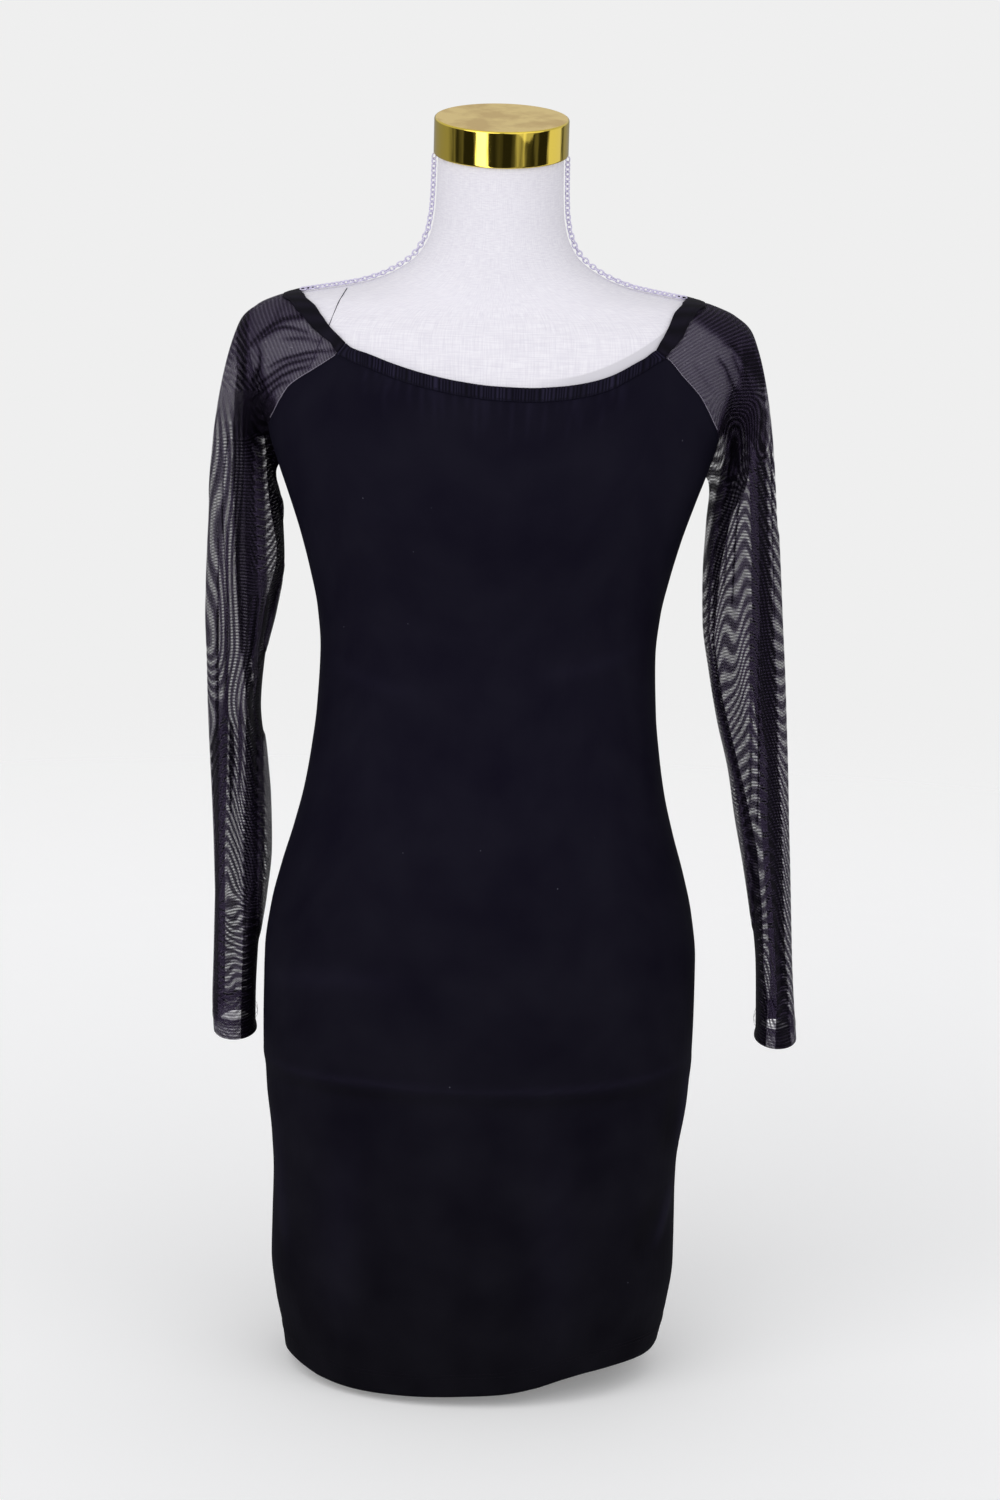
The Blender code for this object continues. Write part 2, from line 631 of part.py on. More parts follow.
jersey = new_material("cotton jersey", JERSEY, 0.85)
net = new_material("stretch net", NET, 0.75, alpha=0.6)
cover = new_material("cotton form cover", COVER, 0.9)
gold = new_material("polished gold plating", GOLD, 0.12, metallic=1.0)
braid = new_material("braided piping", BRAID, 0.7)
steel = new_material("powder-coated steel", STEEL, 0.5)

form_torso(cover)
neck_cap(gold)
piping("form_piping_left", 180, braid)
piping("form_piping_right", 0, braid)
stand(steel)
panel("front_panel", 0, FRONT_STEPS, FRONT_NECK_EDGE, jersey)
panel("back_panel", 180, BACK_STEPS, BACK_NECK_EDGE, jersey)
neck_casing("front_neck_casing", 0, FRONT_NECK_EDGE, FRONT_GATHERS, jersey)
neck_casing("back_neck_casing", 180, BACK_NECK_EDGE, BACK_GATHERS, jersey)
for which, side in (("left", -1), ("right", 1)):
    shoulder_band(f"shoulder_band_{which}", side, net)
    sleeve(f"sleeve_{which}", which, side, net)
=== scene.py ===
"""The looks of a long-sleeve dress on a limbless dress form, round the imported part.

Metres, +Z up, front towards -Y. Left and right are the viewer's, looking at the front.
"""

import math

import bmesh
import bpy
import numpy as np
from mathutils import Euler, Matrix, Vector


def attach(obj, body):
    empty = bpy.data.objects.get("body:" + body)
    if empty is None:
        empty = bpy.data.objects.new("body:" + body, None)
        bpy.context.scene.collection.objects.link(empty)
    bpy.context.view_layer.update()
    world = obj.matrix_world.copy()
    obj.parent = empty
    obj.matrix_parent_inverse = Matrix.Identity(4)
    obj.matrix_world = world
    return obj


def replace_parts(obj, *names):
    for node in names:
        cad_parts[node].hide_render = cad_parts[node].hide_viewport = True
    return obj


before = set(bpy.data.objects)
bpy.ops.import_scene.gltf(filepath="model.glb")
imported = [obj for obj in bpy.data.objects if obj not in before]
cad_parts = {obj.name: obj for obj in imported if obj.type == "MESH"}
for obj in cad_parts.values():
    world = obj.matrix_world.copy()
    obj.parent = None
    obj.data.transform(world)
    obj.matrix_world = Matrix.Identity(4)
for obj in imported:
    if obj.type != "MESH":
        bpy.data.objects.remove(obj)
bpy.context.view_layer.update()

# Stand
# A weighted steel base, a post and the flange that carries the form. They are powder coated,
# stand inside the skirt, and keep the shape that the part gives them.
MM = 0.001
STAND_GREY = "#2b2b2e"


def linear(hex_colour):
    """An sRGB hex colour as the linear red, green, blue and alpha that the shaders take."""
    parts = [int(hex_colour[i : i + 2], 16) / 255 for i in (1, 3, 5)]
    return (*[p / 12.92 if p <= 0.04045 else ((p + 0.055) / 1.055) ** 2.4 for p in parts], 1)


def add_node(tree, kind, inputs=(), **settings):
    """A node with its settings. Each input is a value, or a socket that is linked to it."""
    node = tree.nodes.new(kind)
    for name, value in settings.items():
        setattr(node, name, value)
    for name, value in dict(inputs).items():
        socket = node.inputs[name]
        if isinstance(value, bpy.types.NodeSocket):
            tree.links.new(value, socket)
        else:
            socket.default_value = value
    return node


def new_material(name, inputs):
    """A material with its shader's own sockets set. Returns it, its tree and its shader."""
    material = bpy.data.materials.new(name)
    material.use_nodes = True
    tree = material.node_tree
    shader = tree.nodes["Principled BSDF"]
    for socket, value in inputs.items():
        shader.inputs[socket].default_value = value
    return material, tree, shader


# Powder coat: a satin dark grey with the fine orange peel that the baked powder leaves.
powder_coat, tree, shader = new_material(
    "Powder-coated steel", {"Base Color": linear(STAND_GREY), "Roughness": 0.45}
)
place = add_node(tree, "ShaderNodeTexCoord").outputs["Object"]
peel = add_node(tree, "ShaderNodeTexNoise", {"Vector": place, "Scale": 1 / (1.2 * MM)})
wear = add_node(tree, "ShaderNodeTexNoise", {"Vector": place, "Scale": 1 / (30 * MM)})
gloss = add_node(tree, "ShaderNodeMapRange", {"Value": wear.outputs[0], 3: 0.38, 4: 0.55})
bump = add_node(
    tree, "ShaderNodeBump", {"Height": peel.outputs[0], "Strength": 0.15, "Distance": 0.1 * MM}
)
tree.links.new(gloss.outputs[0], shader.inputs["Roughness"])
tree.links.new(bump.outputs[0], shader.inputs["Normal"])
for name in ("stand_base", "stand_post", "form_flange"):
    steel_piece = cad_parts[name]
    steel_piece.data.materials.clear()
    steel_piece.data.materials.append(powder_coat)

# Form
# The covered torso that wears the dress: a padded shell under a tight cover of white woven
# cotton, flat at its rim and at the slanted neck top. It has the solid's shape, more finely.
BODY_COLUMNS = ("height", "half_width", "centre", "front", "back", "squareness")
BODY = np.array((
    (0.000, 0.1480, 0.000, 0.118, 0.110, 2.10),
    (0.022, 0.1508, 0.000, 0.118, 0.112, 2.12),
    (0.057, 0.1580, 0.000, 0.118, 0.114, 2.18),
    (0.091, 0.1620, 0.000, 0.117, 0.115, 2.26),
    (0.126, 0.1617, 0.000, 0.116, 0.116, 2.30),
    (0.160, 0.1612, 0.000, 0.115, 0.116, 2.30),
    (0.194, 0.1632, 0.000, 0.114, 0.116, 2.30),
    (0.228, 0.1676, 0.000, 0.114, 0.117, 2.30),
    (0.246, 0.1690, 0.000, 0.114, 0.118, 2.30),
    (0.262, 0.1710, 0.000, 0.116, 0.120, 2.30),
    (0.300, 0.1716, 0.000, 0.117, 0.122, 2.30),
    (0.345, 0.1712, 0.000, 0.116, 0.122, 2.30),
    (0.380, 0.1670, 0.000, 0.113, 0.118, 2.30),
    (0.412, 0.1595, 0.000, 0.109, 0.111, 2.28),
    (0.445, 0.1500, 0.000, 0.105, 0.102, 2.26),
    (0.478, 0.1420, 0.000, 0.101, 0.094, 2.24),
    (0.511, 0.1367, 0.000, 0.098, 0.087, 2.22),
    (0.544, 0.1330, 0.000, 0.096, 0.082, 2.20),
    (0.592, 0.1310, 0.000, 0.095, 0.079, 2.20),
    (0.625, 0.1338, 0.000, 0.099, 0.080, 2.22),
    (0.657, 0.1404, 0.000, 0.109, 0.084, 2.26),
    (0.689, 0.1488, 0.000, 0.120, 0.088, 2.34),
    (0.720, 0.1580, 0.000, 0.127, 0.092, 2.42),
    (0.750, 0.1680, 0.000, 0.125, 0.095, 2.46),
    (0.775, 0.1765, 0.000, 0.117, 0.097, 2.46),
    (0.800, 0.1855, 0.000, 0.104, 0.095, 2.44),
    (0.820, 0.1905, 0.000, 0.093, 0.092, 2.40),
    (0.838, 0.1930, 0.000, 0.083, 0.088, 2.34),
    (0.851, 0.1925, 0.000, 0.076, 0.082, 2.28),
    (0.860, 0.1850, 0.000, 0.069, 0.076, 2.22),
    (0.866, 0.1730, 0.000, 0.064, 0.071, 2.16),
    (0.872, 0.1545, 0.000, 0.0605, 0.067, 2.12),
    (0.8765, 0.1300, -0.001, 0.0580, 0.0630, 2.08),
    (0.8815, 0.1055, -0.002, 0.0560, 0.0595, 2.05),
    (0.890, 0.0830, -0.003, 0.0540, 0.0565, 2.02),
    (0.906, 0.0616, -0.005, 0.0525, 0.0540, 2.00),
    (0.9245, 0.0525, -0.007, 0.0508, 0.0515, 2.00),
    (0.942, 0.0497, -0.009, 0.0498, 0.0500, 2.00),
    (0.962, 0.0489, -0.011, 0.0492, 0.0492, 2.00),
    (0.9855, 0.0486, -0.014, 0.0490, 0.0490, 2.00),
))
NECK_TOP = 0.9855
NECK_LEAN = math.radians(6.8)
LEAN_FROM = 0.925
RIM_HEIGHT = 0.255
RIM_EDGE, RIM_BEVEL = 0.006, 0.002
FORM_AROUND = 200
COVER_WHITE, COVER_SLUB = "#f1eff5", "#e2dfe8"


def curve_through(across, values, at):
    """A smooth curve through a table's points, read at many places. It never overshoots them."""
    across, values, at = (np.asarray(v, float) for v in (across, values, at))
    steps = np.diff(across)
    rise = np.diff(values) / steps
    both = rise[:-1] * rise[1:]
    inner = np.where(both > 0, 2 * both / np.where(both > 0, rise[:-1] + rise[1:], 1), 0)
    lean = np.concatenate(([rise[0]], inner, [rise[-1]]))
    at = np.clip(at, across[0], across[-1])
    i = np.clip(np.searchsorted(across, at) - 1, 0, len(steps) - 1)
    s = (at - across[i]) / steps[i]
    return (
        values[i] * (1 + 2 * s) * (1 - s) ** 2
        + values[i + 1] * s * s * (3 - 2 * s)
        + steps[i] * (lean[i] * s * (1 - s) ** 2 - lean[i + 1] * s * s * (1 - s))
    )


def body_row(height):
    """The body's section at each height, by column name."""
    return {
        name: curve_through(BODY[:, 0], BODY[:, i], height)
        for i, name in enumerate(BODY_COLUMNS)
    }


def skin(angle, height):
    """Points of the body's skin. 0 degrees is the side at +X, 90 the front, 180 the side at -X."""
    angle, height = np.broadcast_arrays(np.asarray(angle, float), np.asarray(height, float))
    row = body_row(height)
    c, s = np.cos(np.radians(angle)), np.sin(np.radians(angle))
    n = row["squareness"]
    reach = (np.abs(c) ** n + np.abs(s) ** n) ** (1 / n)
    y = -np.where(s > 0, row["front"], row["back"]) * s / reach
    lean = np.clip((height - LEAN_FROM) / (NECK_TOP - LEAN_FROM), 0, 1) * math.tan(NECK_LEAN)
    return np.stack((row["half_width"] * c / reach, row["centre"] + y, height + lean * y), -1)


def unit(vectors):
    """The same ways, each one metre long."""
    return vectors / np.linalg.norm(vectors, axis=-1, keepdims=True)


def skin_normal(angle, height):
    """The way out of the skin, from points half a millimetre and half a degree to each side."""
    low, high = np.maximum(height - 0.5 * MM, 0), np.minimum(height + 0.5 * MM, NECK_TOP)
    across = skin(np.asarray(angle) + 0.5, height) - skin(np.asarray(angle) - 0.5, height)
    return unit(np.cross(skin(angle, high) - skin(angle, low), across))


# The dress is worn a little askew. On the front left, its seams are drawn towards the middle
# and sag, by so much at each height. At all four neck corners, the band's end leans over too.
ASKEW = (
    (0.780, -1.0, 0.0), (0.795, -0.8, 0.0), (0.8085, 0.0, 0.0), (0.8199, 2.2, 0.3),
    (0.829, 3.2, 1.5), (0.8377, 3.4, 3.6), (0.8441, 2.8, 0.5), (0.8501, 1.7, 0.0),
    (0.855, 1.2, 0.0), (0.8614, 0.8, 0.0), (0.872, 0.4, 0.0), (0.880, 0.0, 0.0),
)
ASKEW_AT, ASKEW_IN, ASKEW_OUT, SAG_AT, SAG_SPREAD = 132.0, 17.0, 14.0, 130.0, 5.0
SHOULDER_SAG = 1.5 * MM
SAG_HEIGHTS, SAG_ANGLES = (0.846, 0.858, 0.872, 0.880), (110, 130, 185, 225)
LEAN = ((0.820, 0.0), (0.829, -1.0), (0.8377, -1.5), (0.8441, 1.3), (0.8501, 0.9), (0.860, 0.0))
LEAN_CORNERS, LEAN_SPREAD = ((51.3, 1), (125.6, -1), (231.3, 1), (308.7, -1)), 4.5


def on_skin(angle, height, clear=0.0):
    """Points that stand clear of the skin, for what is worn on it."""
    angle, height = np.broadcast_arrays(np.asarray(angle, float), np.asarray(height, float))
    heights, turns, sags = zip(*ASKEW)
    window = np.exp(-(((angle - ASKEW_AT) / np.where(angle < ASKEW_AT, ASKEW_IN, ASKEW_OUT)) ** 2))
    turned_by = np.interp(height, heights, turns) * window
    sag = np.interp(height, heights, sags) * MM * np.exp(-(((angle - SAG_AT) / SAG_SPREAD) ** 2))
    sag = sag + (
        SHOULDER_SAG * np.interp(height, SAG_HEIGHTS, (0, 1, 1, 0))
        * np.interp(angle, SAG_ANGLES, (0, 1, 1, 0))
    )
    lean = np.interp(height, *zip(*LEAN))
    angle, height = angle - turned_by, height - sag
    for corner, way in LEAN_CORNERS:
        away = (angle - corner + 180) % 360 - 180
        angle = angle + way * lean * np.exp(-((away / LEAN_SPREAD) ** 2))
    return skin(angle, height) + np.asarray(clear)[..., None] * skin_normal(angle, height)


def cloth_mesh(name, grid, uv, ring, material, caps=False, attributes=None):
    """A sheet of quads through rows of points, with its UV map in metres and point attributes.

    A ring joins each row's end to its start, and then uv has one column more than the grid.
    """
    rows, across = grid.shape[:2]
    at = np.arange(rows * across).reshape(rows, across)
    low, high = at[:-1], at[1:]
    if ring:
        corners = (low, np.roll(low, -1, 1), np.roll(high, -1, 1), high)
    else:
        corners = (low[:, :-1], low[:, 1:], high[:, 1:], high[:, :-1])
    faces = np.stack(corners, -1).reshape(-1, 4)
    polygons = faces.tolist()
    if caps:
        polygons += [at[0][::-1].tolist(), at[-1].tolist()]
    mesh = bpy.data.meshes.new(name)
    mesh.from_pydata(grid.reshape(-1, 3).tolist(), [], polygons)
    layer = mesh.uv_layers.new(name="cloth")
    corner_uv = np.stack((uv[:-1, :-1], uv[:-1, 1:], uv[1:, 1:], uv[1:, :-1]), 2).reshape(-1, 2)
    if caps:
        ends = np.concatenate([grid[0][::-1, :2], grid[-1][:, :2]])
        corner_uv = np.concatenate((corner_uv, ends))
    layer.data.foreach_set("uv", corner_uv.astype(np.float32).ravel())
    for key, values in (attributes or {}).items():
        mesh.attributes.new(key, "FLOAT", "POINT").data.foreach_set(
            "value", np.broadcast_to(values, (rows, across)).astype(np.float32).ravel()
        )
    mesh.shade_smooth()
    made = bpy.data.objects.new(name, mesh)
    bpy.context.scene.collection.objects.link(made)
    mesh.materials.append(material)
    return made


def facing_out(made):
    """Turns a closed mesh's faces so that they all point out."""
    bm = bmesh.new()
    bm.from_mesh(made.data)
    bmesh.ops.recalc_face_normals(bm, faces=bm.faces)
    bm.to_mesh(made.data)
    bm.free()
    return made


def lengths_across(grid, ring=False):
    """How far along each row every point lies, in metres, measured on its middle row."""
    middle = grid[len(grid) // 2]
    if ring:
        middle = np.concatenate((middle, middle[:1]))
    return np.concatenate(([0], np.cumsum(np.linalg.norm(np.diff(middle, axis=0), axis=1))))


def lengths_along(grid):
    """How far up each column every row lies, in metres, measured on its middle column."""
    middle = grid[:, grid.shape[1] // 2]
    return np.concatenate(([0], np.cumsum(np.linalg.norm(np.diff(middle, axis=0), axis=1))))


def cloth_uv(grid, ring=False):
    """The grid's UV map, in metres across and along the cloth."""
    u, v = np.meshgrid(lengths_across(grid, ring), lengths_along(grid))
    return np.stack((u, v), -1)


def band_scale(pitch):
    """The Wave texture's scale that draws bands this far apart: it turns 20 radians a unit."""
    return 2 * math.pi / 20 / pitch


# Woven cotton: a matt off-white with an uneven plain weave. The threads are 0.4 mm apart and
# are drawn 5.7 mm apart, so that the linen-like grain shows in the render.
WEAVE = 5.655 * MM
# Thick spots in the thread, as how many there are in a metre along it and across it
SLUBS_ALONG, SLUBS_ACROSS = 60, 900
# The painted shade on the cloth: how far right it begins, its edge's lowest height and how fast
# that rises, and how far forward it begins and is at its full tone
COVER_PAINTED_SHADE, PAINTED_SHADE_FROM, PAINTED_SHADE_HEIGHT, PAINTED_SHADE_BEND = "#d5d3da", 0.030, 0.823, 3.54
PAINTED_SHADE_FRONT = (-0.03, -0.04)
cover, tree, shader = new_material(
    "Woven cotton cover",
    {"Roughness": 0.92, "Specular IOR Level": 0.2, "Sheen Weight": 0.12, "Sheen Roughness": 0.6},
)
uv = add_node(tree, "ShaderNodeUVMap", uv_map="cloth").outputs[0]
warp, weft = (
    add_node(
        tree, "ShaderNodeTexWave",
        {"Vector": uv, "Scale": band_scale(WEAVE), "Distortion": 0.6, "Detail": 1.0,
         "Detail Scale": 0.4},
        bands_direction=way,
    ).outputs["Fac"]
    for way in ("X", "Y")
)
threads = add_node(tree, "ShaderNodeMath", {0: warp, 1: weft}, operation="MULTIPLY").outputs[0]
slub_x, slub_y = (
    add_node(
        tree, "ShaderNodeTexNoise",
        {"Vector": add_node(tree, "ShaderNodeMapping", {"Vector": uv, "Scale": stretch}).outputs[0],
         "Scale": 1.0, "Detail": 2.0},
    ).outputs[0]
    for stretch in ((SLUBS_ALONG, SLUBS_ACROSS, 1), (SLUBS_ACROSS, SLUBS_ALONG, 1))
)
slubs = add_node(tree, "ShaderNodeMath", {0: slub_x, 1: slub_y}, operation="MULTIPLY").outputs[0]
tone = add_node(tree, "ShaderNodeMapRange", {"Value": slubs, 1: 0.12, 2: 0.38}).outputs[0]
clean = add_node(
    tree, "ShaderNodeMix", {0: tone, 6: linear(COVER_SLUB), 7: linear(COVER_WHITE)},
    data_type="RGBA",
).outputs[2]
# Painted shade, drawn darker along the dress's neck on the front right, up to a curved edge
place = add_node(tree, "ShaderNodeTexCoord").outputs["Object"]
split = add_node(tree, "ShaderNodeSeparateXYZ", {0: place}).outputs
across = add_node(
    tree, "ShaderNodeMath", {0: split["X"], 1: PAINTED_SHADE_FROM}, operation="SUBTRACT"
).outputs[0]
across = add_node(tree, "ShaderNodeMath", {0: across, 1: 2.0}, operation="POWER").outputs[0]
edge = add_node(
    tree, "ShaderNodeMath", {0: across, 1: PAINTED_SHADE_BEND, 2: PAINTED_SHADE_HEIGHT},
    operation="MULTIPLY_ADD",
).outputs[0]
under = add_node(tree, "ShaderNodeMath", {0: edge, 1: split["Z"]}, operation="SUBTRACT").outputs[0]
painted_shade = add_node(tree, "ShaderNodeMapRange", {"Value": under, 1: 0.0, 2: 1.5 * MM}).outputs[0]
for axis, (nothing, full) in (("X", (PAINTED_SHADE_FROM, 2 * PAINTED_SHADE_FROM)), ("Y", PAINTED_SHADE_FRONT)):
    inside = add_node(tree, "ShaderNodeMapRange", {"Value": split[axis], 1: nothing, 2: full})
    painted_shade = add_node(
        tree, "ShaderNodeMath", {0: painted_shade, 1: inside.outputs[0]}, operation="MULTIPLY"
    ).outputs[0]
colour = add_node(
    tree, "ShaderNodeMix", {0: painted_shade, 6: clean, 7: linear(COVER_PAINTED_SHADE)}, data_type="RGBA"
)
height = add_node(tree, "ShaderNodeMath", {0: threads, 1: slubs}, operation="ADD").outputs[0]
bump = add_node(
    tree, "ShaderNodeBump", {"Height": height, "Strength": 0.2, "Distance": 0.2 * MM}
)
tree.links.new(colour.outputs[2], shader.inputs["Base Color"])
tree.links.new(bump.outputs[0], shader.inputs["Normal"])

# Rows of points up the form, close together over the shoulders, and two for the rounded rim
angles = np.arange(FORM_AROUND) * 360 / FORM_AROUND
heights = np.concatenate((
    np.arange(RIM_HEIGHT + RIM_EDGE, 0.84, 0.010), [0.8440, 0.8480, 0.8520],
    np.arange(0.8560, 0.895, 0.0018), np.arange(0.897, NECK_TOP, 0.004), [NECK_TOP],
))
rim_sunk = np.array([[-RIM_EDGE], [-RIM_BEVEL]])
rim = on_skin(angles[None], np.full((2, 1), RIM_HEIGHT + RIM_EDGE), rim_sunk)
rim[0, :, 2], rim[1, :, 2] = RIM_HEIGHT, RIM_HEIGHT + RIM_BEVEL
grid = np.concatenate((rim, skin(angles[None], heights[:, None])))
form_cover = facing_out(
    cloth_mesh("form_cover", grid, cloth_uv(grid, True), True, cover, caps=True)
)
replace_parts(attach(form_cover, "root"), "form_torso")

# Neck cap
# A turned and plated metal drum on the neck. Its side is polished to a mirror, and its top
# is brushed, so it stays matt.
CAP_RADIUS, CAP_HEIGHT, CAP_EDGE, CAP_FOOT = 0.0520, 0.0285, 0.0018, 0.0008
# Rings of points that keep its flat top and its side free of ripples
CAP_TOP_RINGS, CAP_SIDE_RINGS = (0.030, 0.048), (0.012, 0.004)
CAP_STEPS = 192
SEAM_GAP = 0.3 * MM
GOLD, GOLD_TOP, GOLD_STAIN = "#e6cc58", "#eed694", "#dabe80"


def turned(name, profile, steps, place, lean, materials, top_from):
    """A turned piece at its place, from (radius, height) points that end on the axis.

    The bands of its profile before top_from have the second material, the others the first.
    """
    mesh = bpy.data.meshes.new(name)
    bm = bmesh.new()
    turns = [2 * math.pi * i / steps for i in range(steps)]
    rings = []
    for radius, height in profile:
        if radius == 0:
            rings.append([bm.verts.new((0, 0, height))])
        else:
            rings.append([
                bm.verts.new((radius * math.cos(t), radius * math.sin(t), height)) for t in turns
            ])
    for k, (low, high) in enumerate(zip(rings, rings[1:])):
        for i in range(steps):
            j = (i + 1) % steps
            corners = (
                low[i % len(low)], low[j % len(low)], high[j % len(high)], high[i % len(high)],
            )
            face = bm.faces.new(list(dict.fromkeys(corners)))
            face.material_index = 1 if k < top_from else 0
    bmesh.ops.recalc_face_normals(bm, faces=bm.faces)
    bm.transform(Matrix.Translation(place) @ Matrix.Rotation(lean, 4, "X"))
    bm.to_mesh(mesh)
    bm.free()
    mesh.shade_smooth()
    for material in materials:
        mesh.materials.append(material)
    made = bpy.data.objects.new(name, mesh)
    bpy.context.scene.collection.objects.link(made)
    return made


# Polished gold plating: a yellow mirror with a faint lengthwise ripple from the turning.
gold, tree, shader = new_material(
    "Polished gold plating", {"Base Color": linear(GOLD), "Metallic": 1.0, "Roughness": 0.05}
)
place = add_node(tree, "ShaderNodeTexCoord").outputs["Object"]
drawn_out = add_node(tree, "ShaderNodeMapping", {"Vector": place, "Scale": (1, 1, 0.10)})
ripple = add_node(
    tree, "ShaderNodeTexNoise",
    {"Vector": drawn_out.outputs[0], "Scale": 1 / (9 * MM), "Detail": 2.0},
)
smear = add_node(tree, "ShaderNodeMapRange", {"Value": ripple.outputs[0], 3: 0.03, 4: 0.09})
bump = add_node(
    tree, "ShaderNodeBump", {"Height": ripple.outputs[0], "Strength": 0.35, "Distance": 0.5 * MM}
)
tree.links.new(smear.outputs[0], shader.inputs["Roughness"])
tree.links.new(bump.outputs[0], shader.inputs["Normal"])

# Brushed gold plating: dull, with soft darker stains where hands have touched it.
brushed_gold, tree, shader = new_material(
    "Brushed gold plating", {"Metallic": 1.0, "Roughness": 0.5}
)
place = add_node(tree, "ShaderNodeTexCoord").outputs["Object"]
stains = add_node(
    tree, "ShaderNodeTexNoise", {"Vector": place, "Scale": 1 / (26 * MM), "Detail": 4.0}
)
share = add_node(tree, "ShaderNodeMapRange", {"Value": stains.outputs[0], 1: 0.45, 2: 0.60})
colour = add_node(
    tree, "ShaderNodeMix", {0: share.outputs[0], 6: linear(GOLD_TOP), 7: linear(GOLD_STAIN)},
    data_type="RGBA",
)
grit = add_node(tree, "ShaderNodeTexNoise", {"Vector": place, "Scale": 1 / (0.6 * MM)})
bump = add_node(
    tree, "ShaderNodeBump", {"Height": grit.outputs[0], "Strength": 0.2, "Distance": 0.1 * MM}
)
tree.links.new(colour.outputs[2], shader.inputs["Base Color"])
tree.links.new(bump.outputs[0], shader.inputs["Normal"])

arc = [
    (CAP_RADIUS - CAP_EDGE * (1 - math.cos(math.radians(t))),
     CAP_HEIGHT - CAP_EDGE * (1 - math.sin(math.radians(t))))
    for t in range(90, -1, -10)
]
profile = [(0, CAP_HEIGHT), *[(radius, CAP_HEIGHT) for radius in CAP_TOP_RINGS], *arc]
profile += [(CAP_RADIUS, height) for height in (*CAP_SIDE_RINGS, 2 * CAP_FOOT, CAP_FOOT)]
profile += [(CAP_RADIUS - CAP_FOOT, 0), (CAP_TOP_RINGS[0], 0), (0, 0)]
neck_centre = float(body_row(np.array([NECK_TOP]))["centre"][0])
cap = turned(
    "gold_neck_cap", profile, CAP_STEPS, Vector((0, neck_centre, NECK_TOP + SEAM_GAP)), NECK_LEAN,
    (gold, brushed_gold), top_from=5,
)
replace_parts(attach(cap, "root"), "neck_cap")

# Piping
# A braided cord sewn over the cover's shoulder seams, from under the cap to the dress. Each
# braid is a chain of looped links, made by Geometry Nodes along the solid's own line.
PIPING_RADIUS, PIPING_GAP = 2.2 * MM, 0.7 * MM
PIPING_ROWS = (
    0.9825, 0.972, 0.956, 0.940, 0.926, 0.915, 0.906, 0.899, 0.893, 0.888, 0.884, 0.8810,
    0.8780, 0.8755, 0.8740,
)
LINK_PITCH, LINK_LENGTH, LINK_WIDTH, LINK_THREAD = 3.7 * MM, 5.0 * MM, 3.7 * MM, 0.60 * MM
LINK_ROLL = math.radians(38)
BRAID_LILAC, BRAID_SHADE = "#f6f3fd", "#b9b0d8"


def node_tree(name, inputs):
    """An empty Geometry Nodes tree with a geometry input and output, and inputs for its sizes."""
    tree = bpy.data.node_groups.new(name, "GeometryNodeTree")
    tree.interface.new_socket("Geometry", in_out="INPUT", socket_type="NodeSocketGeometry")
    tree.interface.new_socket("Geometry", in_out="OUTPUT", socket_type="NodeSocketGeometry")
    for key, default in inputs.items():
        kind = "NodeSocketMaterial" if default is None else "NodeSocketFloat"
        socket = tree.interface.new_socket(key, in_out="INPUT", socket_type=kind)
        if default is not None:
            socket.default_value = default
    return tree, add_node(tree, "NodeGroupInput").outputs


def stations_along(tree, group):
    """Points a pitch apart along the tree's line, and the turn that lays Y along it there."""
    line = add_node(tree, "GeometryNodeMeshToCurve", {"Mesh": group["Geometry"]})
    stations = add_node(
        tree, "GeometryNodeResampleCurve", {"Curve": line.outputs[0], "Length": group["Pitch"]},
        mode="LENGTH",
    )
    tangent = add_node(tree, "GeometryNodeInputTangent")
    along = add_node(
        tree, "FunctionNodeAlignRotationToVector", {"Vector": tangent.outputs[0]}, axis="Y"
    )
    return stations.outputs[0], along.outputs[0]


def finish_tree(tree, group, geometry):
    """Ends a tree: what it made becomes plain mesh, in the material that the tree is given."""
    plain = add_node(tree, "GeometryNodeRealizeInstances", {"Geometry": geometry})
    finish = add_node(
        tree, "GeometryNodeSetMaterial",
        {"Geometry": plain.outputs[0], "Material": group["Material"]},
    )
    add_node(tree, "NodeGroupOutput", {"Geometry": finish.outputs[0]})


def grown(name, lines, tree, values):
    """The plain mesh that a Geometry Nodes tree grows along lines of points."""
    mesh = bpy.data.meshes.new(name)
    points, edges = [], []
    for line in lines:
        edges += [(len(points) + i, len(points) + i + 1) for i in range(len(line) - 1)]
        points += [tuple(p) for p in line]
    mesh.from_pydata(points, edges, [])
    seed = bpy.data.objects.new(name + "_line", mesh)
    bpy.context.scene.collection.objects.link(seed)
    modifier = seed.modifiers.new("Grow", "NODES")
    modifier.node_group = tree
    sockets = {s.name: s.identifier for s in tree.interface.items_tree if s.in_out == "INPUT"}
    for key, value in values.items():
        modifier[sockets[key]] = value
    bpy.context.view_layer.update()
    graph = bpy.context.evaluated_depsgraph_get()
    plain = bpy.data.meshes.new_from_object(seed.evaluated_get(graph), depsgraph=graph)
    plain.name = name
    seed.modifiers.remove(modifier)
    bpy.data.objects.remove(seed)
    plain.shade_smooth()
    made = bpy.data.objects.new(name, plain)
    bpy.context.scene.collection.objects.link(made)
    return made


# Cotton braid: soft and lilac white, flecked with darker lilac, with a fine fibrous surface.
braid, tree, shader = new_material(
    "Braided cotton cord", {"Roughness": 0.85, "Specular IOR Level": 0.25, "Sheen Weight": 0.2}
)
place = add_node(tree, "ShaderNodeTexCoord").outputs["Object"]
fibre = add_node(tree, "ShaderNodeTexNoise", {"Vector": place, "Scale": 1 / (0.5 * MM)})
colour = add_node(
    tree, "ShaderNodeMix",
    {0: fibre.outputs[0], 6: linear(BRAID_SHADE), 7: linear(BRAID_LILAC)}, data_type="RGBA",
)
bump = add_node(
    tree, "ShaderNodeBump", {"Height": fibre.outputs[0], "Strength": 0.4, "Distance": 0.2 * MM}
)
tree.links.new(colour.outputs[2], shader.inputs["Base Color"])
tree.links.new(bump.outputs[0], shader.inputs["Normal"])

